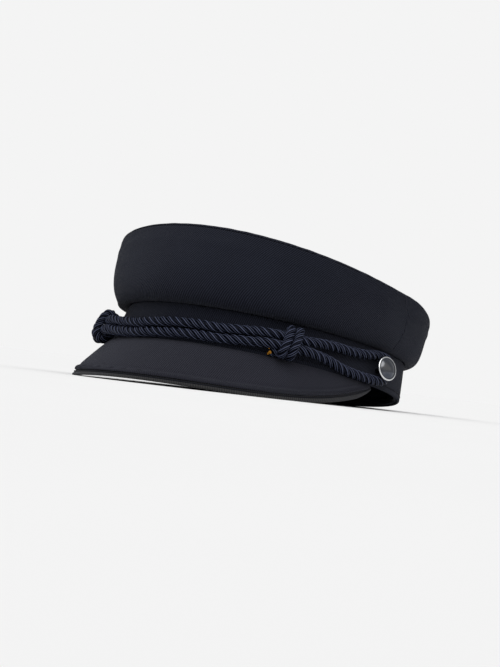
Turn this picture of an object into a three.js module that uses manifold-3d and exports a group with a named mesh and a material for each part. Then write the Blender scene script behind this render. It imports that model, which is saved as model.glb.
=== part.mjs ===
// A sailor cap in cotton twill: a soft crown of a top and two side panels above a straight
// band, a curved peak, and a doubled cord held by a button at each side. Millimetres.
// It is shaped with the band's lower edge in the plane z = 0, the wearer's left towards +X
// and the peak towards -Y, and the whole cap is then tipped back as it lies on a table.

import * as THREE from "three";
import { mergeVertices } from "three/addons/utils/BufferGeometryUtils.js";
import Module from "manifold-3d";

// Clearance between sewn pieces.
const GAP = 0.3;

// Band: an oval at its lower edge and a slightly smaller one at the crown seam, outer face.
const HEAD_HALF_WIDTH = 85;
const HEAD_HALF_LENGTH = 100;
const BAND_HEIGHT = 23.4;
const BAND_WALL = 1.6;
const BAND_LEAN_SIDE = 5;
const BAND_LEAN_FRONT = 5;
const BAND_LEAN_BACK = 1.1;
const BAND_WIDEST_BACK = 12.9;

// Sweatband inside the band, with a thicker binding along its lower edge.
const SWEATBAND_HEIGHT = 20;
const SWEATBAND_WALL = 1.4;
const BINDING_HEIGHT = 3;
const BINDING_WALL = 2;
const BINDING_SLOPE = 0.5;
const SWEATBAND_LIFT = 0.6;

// Crown wall: how far its top edge lies out from the band's top edge, and how far above it.
const CROWN_WALL = 1.6;
const CROWN_OUT_SIDE = 14.7;
const CROWN_OUT_FRONT = 1.1;
const CROWN_OUT_BACK = 2.8;
const CROWN_WIDEST_BACK = 6.9;
const CROWN_RISE_FRONT = 46;
const CROWN_RISE_SIDE = 32;
const CROWN_RISE_BACK = 14.5;
const CROWN_BULGE_FRONT = 10.2;
const CROWN_BULGE_SIDE = 3.5;
const CROWN_BULGE_BACK = 10.4;
const CROWN_FULLNESS_FRONT = 2.8;
const CROWN_SQUARENESS = 0.012;
const SIDE_SEAM_ANGLE = 90;
const SIDE_SEAM_SWAY = 6;
const CREASE_DEPTH = 1.8;

// Crown top: a flat oval whose edge rolls up from the seam.
const TOP_WALL = 1.6;
const TOP_ROLL = 4.5;
const TOP_CENTRE_RISE = 33;

// Lining, slack inside the crown.
const LINING_WALL = 1;
const LINING_INSET = 4.5;
const LINING_DROP = 4;
const LINING_SLACK = 1.5;

// Peak: two layers that leave the band's lower edge and tuck under it at their ends, and a
// tape under them.
const PEAK_HALF_ANGLE = 86.7;
const PEAK_REACH = 28.8;
const PEAK_DROP = 25;
const PEAK_SEAM_HEIGHT = 0.9;
const PEAK_TUCK = 2;
const PEAK_UPPER_WALL = 1.5;
const PEAK_UNDER_WALL = 1.2;
const TAPE_WIDTH = 10;
const TAPE_WALL = 0.9;

// Cord, its two wrap knots and its buttons.
const CORD_WIDTH = 5.7;
const CORD_SIDES = 6;
const KNOT_CORD_WIDTH = 5.2;
const KNOT_ROOM = 0.5;
const KNOT_TURNS = 2;
const KNOT_TAIL = 7;
const KNOT_LEFT_ANGLE = 45.8;
const KNOT_RIGHT_ANGLE = -45.5;
const KNOT_LEFT_HEIGHT = 10.8;
const KNOT_RIGHT_HEIGHT = 8.6;
const BUTTON_ANGLE = 87;
const BUTTON_HEIGHT = 9.8;
const HOOK_RISE = 1.4;
const BUTTON_WIDTH = 14.6;
const BUTTON_RIM = 1.3;
const BUTTON_DOME = 1.7;
const BUTTON_BEVEL = 0.45;
const BUTTON_LEAN = 14;
const SHANK_WIDTH = 3;

// How much cloth the table flattens under the peak and under the back of the band.
const TABLE_PRESS = 0.3;

// Powers of the shape formulas: how low the crown swells, how fast its bulge and its height
// change round the cap, how square the top's rolled edge is, and how the peak curves down.
const SWELL_POWER = 2.5;
const BULGE_POWER = 1.5;
const RISE_POWER = 1.4;
const ROLL_POWER = 8;
const PEAK_CURVE_POWER = 1.12;

// Side seam: its place at shares of the wall's height, in shares of the sway towards the back.
const SIDE_SEAM = [
  { up: 0, back: -0.25 },
  { up: 0.5, back: 0.1 },
  { up: 0.75, back: 0.4 },
  { up: 0.9, back: 0.15 },
  { up: 1, back: -1 },
];

// Soft creases of the crown wall: place in degrees round the cap and in shares of the wall's
// height, half-widths in the same units, and depth in shares of the crease depth.
const CREASES = [
  { angle: 88, up: 0.93, spread: 7, tall: 0.16, depth: 1 },
  { angle: 101, up: 0.7, spread: 8, tall: 0.3, depth: 0.5 },
  { angle: 70, up: 0.86, spread: 9, tall: 0.14, depth: 0.45 },
  { angle: -22, up: 0.8, spread: 12, tall: 0.2, depth: 0.4 },
  { angle: -84, up: 0.85, spread: 10, tall: 0.2, depth: 0.9 },
  { angle: 150, up: 0.6, spread: 14, tall: 0.3, depth: 0.7 },
  { angle: -150, up: 0.6, spread: 14, tall: 0.3, depth: 0.7 },
];

// How the peak's reach and drop change from its middle to its ends: shares of both at the
// middle, and what the square and the fourth power of the way to an end add to them.
const PEAK_REACH_FALL = { middle: 1, square: -1.184, fourth: 0.528 };
const PEAK_DROP_FALL = { middle: 1, square: 0.2, fourth: -0.868 };
const PEAK_END_SHARE = 0.985;

// The peak's layers thin to a share of their walls at the band, over a share of its length.
const PEAK_NECK = 0.5;
const PEAK_NECK_REACH = 0.15;

// The widest share of the peak that its tape covers, and how many steps short of each end of
// the peak the tape stops.
const TAPE_WIDEST = 0.6;
const TAPE_END_STEPS = 3;

// The share of the lining's wall that stands inside the band, and the share of the lining
// that is wall.
const LINING_NECK = 0.2;
const LINING_WALL_SHARE = 0.5;

// Cord between the right-hand parting and the middle: angle round the cap, then the heights
// of its upper and lower strands on the band and how far it stands off, in shares of the
// band's height and of the way out to the knots.
const CORD_ROUTE = [
  { angle: -84, upper: 0.8, lower: 0.15, off: 0 },
  { angle: -77, upper: 0.72, lower: 0.12, off: 0 },
  { angle: -70, upper: 0.67, lower: 0.13, off: 0.05 },
  { angle: -62, upper: 0.62, lower: 0.2, off: 0.25 },
  { angle: -30, upper: 0.44, lower: 0.17, off: 0.3 },
  { angle: -17, upper: 0.39, lower: 0.13, off: 0.06 },
  { angle: -6, upper: 0.45, lower: 0.175, off: 0 },
  { angle: 8, upper: 0.5, lower: 0.22, off: 0 },
  { angle: 22, upper: 0.5, lower: 0.23, off: 0.06 },
  { angle: 33, upper: 0.57, lower: 0.3, off: 0.35 },
  { angle: 60, upper: 0.66, lower: 0.28, off: 0.45 },
  { angle: 69, upper: 0.67, lower: 0.15, off: 0.1 },
  { angle: 76, upper: 0.71, lower: 0.12, off: 0 },
  { angle: 83, upper: 0.8, lower: 0.13, off: 0 },
];

// Where the strands run straight through a knot, in degrees from its middle.
const KNOT_STRAIGHT = [-6.5, -2, 2, 6.5];

// How the cord hooks round a button's shank: degrees past the button, and heights from the
// hook's middle in shares of the cord's width.
const HOOK = [
  { past: 1, up: -1.32 },
  { past: 3.6, up: -0.95 },
  { past: 4.6, up: 0 },
  { past: 3.6, up: 0.95 },
  { past: 1, up: 1.32 },
];

// One turn of a knot: its way along the strands in shares of a turn's width, which strand it
// rounds, and how far up the band's face and out of it it lies, in shares of the knot's reach.
const KNOT_TURN = [
  { along: 0, strand: -1, up: -0.83, out: -0.71 },
  { along: 0, strand: -1, up: -1.25, out: 0 },
  { along: 0.08, strand: -1, up: -0.83, out: 0.71 },
  { along: 0.25, strand: 0, up: 0, out: 1 },
  { along: 0.42, strand: 1, up: 0.71, out: 0.71 },
  { along: 0.5, strand: 1, up: 1, out: 0 },
  { along: 0.6, strand: 1, up: 0.71, out: -0.71 },
  { along: 0.8, strand: 0, up: 0, out: -1 },
];

// The knot's tail starts below the lower strand, and the last turn ends after its sixth point.
const KNOT_TAIL_START = { strand: -1, up: -0.85, out: -0.75 };
const KNOT_LAST_POINTS = 6;

// Numbers of steps round and along the pieces, and the rows of each wall as shares across it.
const CORD_STEPS = 136;
const CURVE_DIVISIONS = 600;
const KNOT_STEPS = 40;
const ROUND_STEPS = 60;
const LINING_STEPS = 40;
const PEAK_STEPS = 34;
const BUTTON_STEPS = 18;
const DOME_STEPS = 4;
const REST_ROUNDS = 40;
const WALL_ROWS = [0, 0.12, 0.3, 0.5, 0.68, 0.82, 0.92, 1];
const TOP_ROWS = [0, 0.35, 0.62, 0.82, 0.95];
const LINING_ROWS = [0, 0.1, 0.3, 0.5, 0.7, 0.85, 0.96];
const PEAK_ROWS = [0, 0.3, 0.65, 1 - PEAK_NECK_REACH, 1];

// The step over which a surface's slope is measured, the share of a surface beside its edge
// where the wall's depth turns level, and how near two corners are one corner.
const SLOPE_STEP = 0.002;
const LEVEL_EDGE = 0.06;
const SAME_CORNER = 1e-4;
const UP = new THREE.Vector3(0, 0, 1);
const radians = THREE.MathUtils.degToRad;

const CLOTH = { color: 0x12151f, roughness: 0.9, metalness: 0 };
const LINING_CLOTH = { color: 0x0c1020, roughness: 0.85, metalness: 0 };
const CORD_YARN = { color: 0x0a0d18, roughness: 0.55, metalness: 0 };
const METAL = { color: 0xb8bcc2, roughness: 0.25, metalness: 1 };

function nodeMesh(name, geometry, finish) {
  const mesh = new THREE.Mesh(geometry, new THREE.MeshStandardMaterial(finish));
  mesh.name = name;
  return mesh;
}

// The level direction out of the cap at an angle from the middle of the front.
function outward(angle) {
  return new THREE.Vector3(Math.sin(angle), -Math.cos(angle), 0);
}

// A point of an oval whose widest place lies behind the origin by the value back.
function ovalPoint(halfWidth, front, rear, back, angle, height) {
  const reach = Math.cos(angle) > 0 ? front + back : rear - back;
  return new THREE.Vector3(halfWidth * Math.sin(angle), back - reach * Math.cos(angle), height);
}

function bandTopPoint(angle, height) {
  return ovalPoint(
    HEAD_HALF_WIDTH - BAND_LEAN_SIDE,
    HEAD_HALF_LENGTH - BAND_LEAN_FRONT,
    HEAD_HALF_LENGTH - BAND_LEAN_BACK,
    BAND_WIDEST_BACK,
    angle,
    height,
  );
}

// A point at a height on the band's outer face, moved straight out by the value off.
function bandPoint(angle, height, off = 0) {
  const low = ovalPoint(HEAD_HALF_WIDTH, HEAD_HALF_LENGTH, HEAD_HALF_LENGTH, 0, angle, height);
  const high = bandTopPoint(angle, height);
  return low.lerp(high, height / BAND_HEIGHT).addScaledVector(outward(angle), off);
}

// A value between the front's, the side's and the back's, by a power of the cosine.
function roundTheCap(front, side, rear, angle, power) {
  const share = Math.abs(Math.cos(angle)) ** power;
  return side + ((Math.cos(angle) > 0 ? front : rear) - side) * share;
}

// The seam between the crown's wall and its top: an oval, a little square at its corners.
function crownEdgePoint(angle) {
  const rise = roundTheCap(CROWN_RISE_FRONT, CROWN_RISE_SIDE, CROWN_RISE_BACK, angle, RISE_POWER);
  const square = CROWN_SQUARENESS * HEAD_HALF_LENGTH * Math.sin(2 * angle) ** 2;
  const point = ovalPoint(
    HEAD_HALF_WIDTH - BAND_LEAN_SIDE + CROWN_OUT_SIDE,
    HEAD_HALF_LENGTH - BAND_LEAN_FRONT + CROWN_OUT_FRONT,
    HEAD_HALF_LENGTH - BAND_LEAN_BACK + CROWN_OUT_BACK,
    CROWN_WIDEST_BACK,
    angle,
    BAND_HEIGHT + rise,
  );
  return point.addScaledVector(outward(angle), square);
}

// How deep the creases are at a place of the crown wall: a sum of soft hollows.
function creaseAt(angle, up) {
  let depth = 0;
  for (const crease of CREASES) {
    const past = angle - radians(crease.angle) + Math.PI;
    const aside = (THREE.MathUtils.euclideanModulo(past, 2 * Math.PI) - Math.PI) / radians(crease.spread);
    const above = (up - crease.up) / crease.tall;
    depth += crease.depth * Math.exp(-aside * aside - above * above);
  }
  return CREASE_DEPTH * depth * Math.sin(Math.PI * Math.min(1, up)) ** 0.5;
}

// The crown wall swells out just above the band, most of all there, and runs up to the seam
// with the top. Its front is also a little full halfway up.
function crownPoint(angle, up) {
  const share = Math.max(0, Math.min(1, up));
  const out = share ** SWELL_POWER;
  const bulge = roundTheCap(CROWN_BULGE_FRONT, CROWN_BULGE_SIDE, CROWN_BULGE_BACK, angle, BULGE_POWER);
  const full = CROWN_FULLNESS_FRONT * Math.max(0, Math.cos(angle));
  const swell = bulge * Math.sin(Math.PI * share) + full * Math.sin(Math.PI * out) - creaseAt(angle, share);
  const point = bandTopPoint(angle, BAND_HEIGHT + GAP).lerp(crownEdgePoint(angle), out);
  return point.addScaledVector(outward(angle), swell);
}

// The top panel: from the seam its edge rolls up and over, and the rest is nearly flat.
function topPoint(angle, turn) {
  const spread = (1 - Math.min(1, turn * turn)) ** (1 / ROLL_POWER);
  const centre = new THREE.Vector3(0, CROWN_WIDEST_BACK, BAND_HEIGHT + TOP_CENTRE_RISE);
  return centre.lerp(crownEdgePoint(angle), spread).addScaledVector(UP, TOP_ROLL * turn + GAP);
}

// The lining's wall stands on the sweatband's top edge, runs up past the band, and then hangs
// slack to the crown's top seam.
function liningPoint(angle, up) {
  const footHeight = SWEATBAND_LIFT + SWEATBAND_HEIGHT + GAP;
  const inset = -BAND_WALL - 2 * GAP;
  const foot = bandPoint(angle, footHeight, inset);
  const neck = bandTopPoint(angle, BAND_HEIGHT + CROWN_WALL).addScaledVector(outward(angle), inset);
  if (up < LINING_NECK) return foot.lerp(neck, up / LINING_NECK);
  const head = crownEdgePoint(angle).addScaledVector(outward(angle), -LINING_INSET);
  head.z -= LINING_DROP;
  const share = (up - LINING_NECK) / (1 - LINING_NECK);
  return neck.lerp(head, share).addScaledVector(outward(angle), LINING_SLACK * Math.sin(Math.PI * share));
}

function liningTopPoint(angle, turn) {
  const spread = (1 - Math.min(1, turn * turn)) ** (1 / ROLL_POWER);
  const height = BAND_HEIGHT + TOP_CENTRE_RISE - LINING_DROP;
  const centre = new THREE.Vector3(0, CROWN_WIDEST_BACK, height);
  return centre.lerp(liningPoint(angle, 1), spread).addScaledVector(UP, TOP_ROLL * turn);
}

// The face that lies a wall's depth inside a surface. Beside the surface's first edge the
// depth is measured level, so that neighbouring edges meet squarely.
function insideOf(surface, wall) {
  return (along, across) => {
    const low = Math.max(0, across - SLOPE_STEP);
    const high = Math.min(1, across + SLOPE_STEP);
    const sideways = surface(along + SLOPE_STEP, across).sub(surface(along - SLOPE_STEP, across));
    const upwards = surface(along, high).sub(surface(along, low));
    const normal = sideways.cross(upwards).normalize();
    normal.z *= Math.min(1, across / LEVEL_EDGE);
    return surface(along, across).addScaledVector(normal.normalize(), -wall);
  };
}

// A point moved level towards the middle of the cap.
function levelInside(point, wall) {
  return point.addScaledVector(outward(Math.atan2(point.x, -point.y)), -wall);
}

// A wall between an outer and an inner surface of two shares, along and across, as one closed
// body. Rows are shares across. A round wall closes on itself, and a wall with a tip ends
// each surface in one point at the share 1.
function wallGeometry(outer, inner, steps, rows, { round = false, tip = false } = {}) {
  const columns = round ? steps : steps + 1;
  const positions = [];
  const faces = [];
  const put = (surface) => {
    const first = positions.length / 3;
    for (const across of rows) {
      for (let column = 0; column < columns; column += 1) {
        positions.push(...surface(column / steps, across).toArray());
      }
    }
    if (tip) positions.push(...surface(0, 1).toArray());
    return (row, column) => {
      if (row === rows.length) return first + rows.length * columns;
      return first + row * columns + (column % columns);
    };
  };
  const out = put(outer);
  const back = put(inner);
  const quad = (a, b, c, d) => faces.push(a, b, c, a, c, d);
  for (let column = 0; column < steps; column += 1) {
    const next = column + 1;
    for (let row = 0; row + 1 < rows.length; row += 1) {
      quad(out(row, column), out(row, next), out(row + 1, next), out(row + 1, column));
      quad(back(row, column), back(row + 1, column), back(row + 1, next), back(row, next));
    }
    const last = rows.length - 1;
    quad(back(0, column), back(0, next), out(0, next), out(0, column));
    if (tip) {
      faces.push(out(last, column), out(last, next), out(last + 1, 0));
      faces.push(back(last, next), back(last, column), back(last + 1, 0));
    } else {
      quad(out(last, column), out(last, next), back(last, next), back(last, column));
    }
  }
  if (!round) {
    for (let row = 0; row + 1 < rows.length; row += 1) {
      quad(back(row, 0), out(row, 0), out(row + 1, 0), back(row + 1, 0));
      quad(out(row, steps), back(row, steps), back(row + 1, steps), out(row + 1, steps));
    }
  }
  const geometry = new THREE.BufferGeometry();
  geometry.setAttribute("position", new THREE.Float32BufferAttribute(positions, 3));
  geometry.setIndex(faces);
  geometry.computeVertexNormals();
  return geometry;
}

// The band is one strip, straight from edge to edge.
function bandGeometry() {
  const face = (off) => (along, across) => bandPoint(2 * Math.PI * along, BAND_HEIGHT * across, off);
  return wallGeometry(face(0), face(-BAND_WALL), ROUND_STEPS, [0, 1], { round: true });
}

// The sweatband lies inside the band; its binding stands further in along the lower edge.
function sweatbandGeometry() {
  const bound = BINDING_HEIGHT / SWEATBAND_HEIGHT;
  const height = (across) => SWEATBAND_LIFT + SWEATBAND_HEIGHT * across;
  const outer = (along, across) => bandPoint(2 * Math.PI * along, height(across), -BAND_WALL - GAP);
  const inner = (along, across) => {
    const wall = across > bound ? SWEATBAND_WALL : BINDING_WALL;
    return bandPoint(2 * Math.PI * along, height(across), -BAND_WALL - GAP - wall);
  };
  const rows = [0, bound, bound + BINDING_SLOPE / SWEATBAND_HEIGHT, 1];
  return wallGeometry(outer, inner, ROUND_STEPS, rows, { round: true });
}

// Where the side seam runs at a share of the wall's height, as an angle from the front.
function sideSeamAngle(up) {
  let row = 1;
  while (row < SIDE_SEAM.length - 1 && SIDE_SEAM[row].up < up) row += 1;
  const before = SIDE_SEAM[row - 1];
  const after = SIDE_SEAM[row];
  const share = (up - before.up) / (after.up - before.up);
  const back = THREE.MathUtils.lerp(before.back, after.back, share);
  return radians(SIDE_SEAM_ANGLE + SIDE_SEAM_SWAY * back);
}

// A crown panel from one side seam to the other, round the front or round the back.
function crownPanelGeometry(isBack) {
  const half = GAP / HEAD_HALF_WIDTH;
  const face = (along, across) => {
    const seam = sideSeamAngle(across);
    const start = isBack ? seam + half : half - seam;
    const end = isBack ? 2 * Math.PI - seam - half : seam - half;
    return crownPoint(start + (end - start) * along, across);
  };
  return wallGeometry(face, panelInside(face), ROUND_STEPS / 2, WALL_ROWS);
}

// The panel's inner face, with the wall's depth measured level at both seams.
function panelInside(face) {
  const fromBelow = insideOf(face, CROWN_WALL);
  return (along, across) => {
    if (across < 1) return fromBelow(along, across);
    return levelInside(face(along, across), CROWN_WALL);
  };
}

// The top panel, whose wall starts level at the seam and ends at the middle of the crown.
function crownTopGeometry() {
  const face = (along, across) => topPoint(2 * Math.PI * along, across);
  const inner = (along, across) => {
    if (across === 0) return levelInside(face(along, across), TOP_WALL);
    if (across === 1) return face(along, across).addScaledVector(UP, -TOP_WALL);
    return insideOf(face, TOP_WALL)(along, across);
  };
  return wallGeometry(face, inner, ROUND_STEPS, TOP_ROWS, { round: true, tip: true });
}

// The lining: its wall comes first in the share across and then its top. Its depth is
// measured level at the wall and turns downwards over the top.
function liningGeometry() {
  const overTop = (across) => Math.max(0, across - LINING_WALL_SHARE) / (1 - LINING_WALL_SHARE);
  const face = (along, across) => {
    const angle = 2 * Math.PI * along;
    if (across <= LINING_WALL_SHARE) return liningPoint(angle, across / LINING_WALL_SHARE);
    return liningTopPoint(angle, overTop(across));
  };
  const inner = (along, across) => {
    const point = face(along, across);
    const lean = (overTop(across) * Math.PI) / 2;
    if (across < 1) levelInside(point, LINING_WALL * Math.cos(lean));
    return point.addScaledVector(UP, -LINING_WALL * Math.sin(lean));
  };
  return wallGeometry(face, inner, LINING_STEPS, LINING_ROWS, { round: true, tip: true });
}

// The peak's outline and section. Along runs from the wearer's right to the left, and across
// from the outer edge to the band. The point lies below the top face by the walls above it,
// which thin out beside the band, and by the gaps above it, which don't.
function peakPoint(along, across, walls = 0, gaps = 0) {
  const share = PEAK_END_SHARE * Math.sin(Math.PI * (along - 0.5));
  const angle = radians(PEAK_HALF_ANGLE) * share;
  const narrow = Math.sqrt(1 - share * share);
  const fall = ({ middle, square, fourth }) => narrow * (middle + square * share ** 2 + fourth * share ** 4);
  const out = 1 - across;
  const point = bandPoint(angle, 0);
  const square = new THREE.Vector3(point.x / HEAD_HALF_WIDTH ** 2, point.y / HEAD_HALF_LENGTH ** 2, 0);
  point.addScaledVector(square.normalize(), GAP + PEAK_REACH * fall(PEAK_REACH_FALL) * out);
  const seam = PEAK_SEAM_HEIGHT * narrow - PEAK_TUCK * (1 - narrow);
  const edge = -PEAK_DROP * fall(PEAK_DROP_FALL) - PEAK_TUCK * (1 - narrow) * narrow;
  const height = THREE.MathUtils.lerp(seam, edge, out ** PEAK_CURVE_POWER);
  const neck = THREE.MathUtils.lerp(PEAK_NECK, 1, Math.min(1, out / PEAK_NECK_REACH));
  point.z = height - walls * neck - gaps;
  return point;
}

function peakLayerGeometry(walls, wall, gaps) {
  const outer = (along, across) => peakPoint(along, across, walls, gaps);
  const inner = (along, across) => peakPoint(along, across, walls + wall, gaps);
  return wallGeometry(outer, inner, PEAK_STEPS, PEAK_ROWS);
}

// The tape lies under the peak beside the band, as wide as the peak allows near its ends. Its
// three rows are its outer edge, the place where the peak starts to thin, and the band.
function peakTapeGeometry() {
  const top = PEAK_UPPER_WALL + PEAK_UNDER_WALL;
  const layer = (walls) => (along, across) => {
    const length = peakPoint(along, 0).distanceTo(peakPoint(along, 1));
    const reaches = [Math.min(TAPE_WIDEST, TAPE_WIDTH / length), PEAK_NECK_REACH, 0];
    return peakPoint(along, 1 - reaches[2 * across], walls, 2 * GAP);
  };
  const steps = PEAK_STEPS - 2 * TAPE_END_STEPS;
  const trimmed = (surface) => (along, across) =>
    surface((TAPE_END_STEPS + steps * along) / PEAK_STEPS, across);
  return wallGeometry(trimmed(layer(top)), trimmed(layer(top + TAPE_WALL)), steps, [0, 1 / 2, 1]);
}

// The cord's centre stands off the band by its own half-width, and further at the knots,
// where a turn of the knot passes behind it.
const CORD_STAND = CORD_WIDTH / 2 + GAP;
const KNOT_REACH = (CORD_WIDTH + KNOT_CORD_WIDTH) / 2 + KNOT_ROOM;
const KNOT_STAND = KNOT_CORD_WIDTH / 2 + 2 * GAP + KNOT_REACH;
const STRAND_HALF_SPACE = (CORD_WIDTH + GAP) / 2;

// The whole loop of the cord as points of angle, height and distance off the band: from the
// left-hand knot's lower strand round the left button, back along the top to the right
// button, and along the bottom to the same knot, where its two ends meet.
function cordRoute() {
  const spot = (angle, height, off) => new THREE.Vector3(angle, height, off);
  const strand = (column) => {
    const points = CORD_ROUTE.map((row) =>
      spot(row.angle, row[column] * BAND_HEIGHT, CORD_STAND + row.off * (KNOT_STAND - CORD_STAND)),
    );
    const side = column === "upper" ? STRAND_HALF_SPACE : -STRAND_HALF_SPACE;
    for (const [angle, height] of [
      [KNOT_RIGHT_ANGLE, KNOT_RIGHT_HEIGHT],
      [KNOT_LEFT_ANGLE, KNOT_LEFT_HEIGHT],
    ]) {
      for (const aside of KNOT_STRAIGHT) points.push(spot(angle + aside, height + side, KNOT_STAND));
    }
    return points.sort((a, b) => a.x - b.x);
  };
  const middle = BUTTON_HEIGHT + HOOK_RISE;
  const hook = (sign) =>
    HOOK.map(({ past, up }) => spot(sign * (BUTTON_ANGLE + past), middle + up * CORD_WIDTH, CORD_STAND));
  const lower = strand("lower");
  const join = lower.findIndex((point) => point.x > KNOT_LEFT_ANGLE);
  return [
    ...lower.slice(join),
    ...hook(1),
    ...strand("upper").reverse(),
    ...hook(-1).reverse(),
    ...lower.slice(0, join + 1),
  ];
}

// A curve given by points of angle in degrees, height and distance off the band.
class BandCurve extends THREE.Curve {
  constructor(points) {
    super();
    this.route = new THREE.CatmullRomCurve3(points, false, "centripetal");
    this.arcLengthDivisions = CURVE_DIVISIONS;
  }
  getPoint(share, target = new THREE.Vector3()) {
    const { x, y, z } = this.route.getPoint(share);
    return target.copy(bandPoint(radians(x), y, z));
  }
}

function ropeGeometry(curve, width, steps) {
  const section = new THREE.Shape();
  for (let side = 0; side < CORD_SIDES; side += 1) {
    const turn = (2 * Math.PI * side) / CORD_SIDES;
    const corner = [(width / 2) * Math.cos(turn), (width / 2) * Math.sin(turn)];
    if (side === 0) section.moveTo(...corner);
    else section.lineTo(...corner);
  }
  section.closePath();
  return new THREE.ExtrudeGeometry(section, { steps, extrudePath: curve, bevelEnabled: false });
}

// The cord's two ends stand a clearance apart inside the knot that joins them.
function cordGeometry() {
  const points = cordRoute();
  const parting = THREE.MathUtils.radToDeg(GAP / HEAD_HALF_WIDTH);
  points[0].x += parting;
  points[points.length - 1].x -= parting;
  return ropeGeometry(new BandCurve(points), CORD_WIDTH, CORD_STEPS);
}

// How far the band's face leans back from upright at the sides.
const FACE_LEAN = Math.atan(BAND_LEAN_SIDE / BAND_HEIGHT);

// A wrap knot: turns round both strands, each slanted across the front, with a cut end that
// sticks out below. Its points are along the strands, up the band's face and square out from
// it, from the strands' middle.
function knotGeometry(angle, height) {
  const perDegree = radians(1) * (HEAD_HALF_LENGTH + KNOT_STAND - BAND_LEAN_SIDE);
  const pitch = KNOT_CORD_WIDTH + GAP;
  const length = (KNOT_TURNS - 1 + KNOT_TURN[KNOT_LAST_POINTS - 1].along) * pitch;
  const points = [];
  const put = (along, row) => {
    const up = row.strand * STRAND_HALF_SPACE + row.up * KNOT_REACH;
    const out = row.out * KNOT_REACH;
    const spot = new THREE.Vector3(angle + (along - length / 2) / perDegree, height, KNOT_STAND);
    spot.y += up * Math.cos(FACE_LEAN) + out * Math.sin(FACE_LEAN);
    spot.z += out / Math.cos(FACE_LEAN);
    points.push(spot);
  };
  put(-KNOT_TAIL, KNOT_TAIL_START);
  for (let turn = 0; turn < KNOT_TURNS; turn += 1) {
    const rows = turn < KNOT_TURNS - 1 ? KNOT_TURN : KNOT_TURN.slice(0, KNOT_LAST_POINTS);
    for (const row of rows) put((turn + row.along) * pitch, row);
  }
  return ropeGeometry(new BandCurve(points), KNOT_CORD_WIDTH, KNOT_STEPS);
}

// A button turned about its own axis: shank, flat back, rim and low dome.
function buttonGeometry() {
  const shank = SHANK_WIDTH / 2;
  const radius = BUTTON_WIDTH / 2;
  const back = CORD_WIDTH + 3 * GAP + radius * Math.sin(radians(BUTTON_LEAN));
  const front = back + BUTTON_RIM;
  const face = radius - BUTTON_BEVEL;
  const profile = [
    new THREE.Vector2(0, 2 * GAP),
    new THREE.Vector2(shank, 2 * GAP),
    new THREE.Vector2(shank, back),
    new THREE.Vector2(face, back),
    new THREE.Vector2(radius, (back + front) / 2),
  ];
  for (let step = 0; step <= DOME_STEPS; step += 1) {
    const share = 1 - step / DOME_STEPS;
    profile.push(new THREE.Vector2(face * share, front + BUTTON_DOME * (1 - share * share)));
  }
  return new THREE.LatheGeometry(profile, BUTTON_STEPS);
}

// Each button stands square on the band and leans a little towards the front.
function buttonMesh(name, sign) {
  const mesh = nodeMesh(name, buttonGeometry(), METAL);
  const angle = radians(sign * BUTTON_ANGLE);
  mesh.position.copy(bandPoint(angle, BUTTON_HEIGHT));
  const axis = outward(angle - sign * radians(BUTTON_LEAN)).multiplyScalar(Math.cos(FACE_LEAN));
  axis.addScaledVector(UP, Math.sin(FACE_LEAN));
  mesh.quaternion.setFromUnitVectors(new THREE.Vector3(0, 1, 0), axis);
  return mesh;
}

// The angle at which the peak's edge and the back of the band touch the table together.
function restAngle() {
  const walls = PEAK_UPPER_WALL + PEAK_UNDER_WALL;
  const heightAt = (point, tip) => point.z * Math.cos(tip) - point.y * Math.sin(tip);
  const lowest = (tip) => {
    let peak = Infinity;
    for (let step = 0; step <= PEAK_STEPS; step += 1) {
      peak = Math.min(peak, heightAt(peakPoint(step / PEAK_STEPS, 0, walls, GAP), tip));
    }
    return { peak, back: heightAt(bandPoint(Math.PI, 0), tip) };
  };
  let low = 0;
  let high = Math.PI / 4;
  for (let round = 0; round < REST_ROUNDS; round += 1) {
    const middle = (low + high) / 2;
    const { peak, back } = lowest(middle);
    if (peak < back) low = middle;
    else high = middle;
  }
  return { tip: low, floor: lowest(low).back };
}

const wasm = await Module();
wasm.setup();

function toSolid(geometry) {
  const bare = geometry.clone();
  bare.deleteAttribute("normal");
  bare.deleteAttribute("uv");
  const merged = mergeVertices(bare, SAME_CORNER);
  return new wasm.Manifold(
    new wasm.Mesh({
      numProp: 3,
      vertProperties: merged.attributes.position.array,
      triVerts: new Uint32Array(merged.index.array),
    }),
  );
}

function toGeometry(solid) {
  const { vertProperties, triVerts } = solid.getMesh();
  const geometry = new THREE.BufferGeometry();
  geometry.setAttribute("position", new THREE.BufferAttribute(vertProperties, 3));
  geometry.setIndex(new THREE.BufferAttribute(triVerts, 1));
  geometry.computeVertexNormals();
  return geometry;
}

const rest = restAngle();

// Everything below the table's plane, as a block in the cap's own frame.
function belowTable() {
  const size = 4 * HEAD_HALF_LENGTH;
  const block = new THREE.BoxGeometry(size, size, size);
  block.translate(0, 0, rest.floor + TABLE_PRESS - size / 2);
  block.rotateX(rest.tip);
  return toSolid(block);
}

// A piece that lies on the table is pressed flat there.
function pressedFlat(geometry) {
  return toGeometry(toSolid(geometry).subtract(belowTable()));
}

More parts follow.
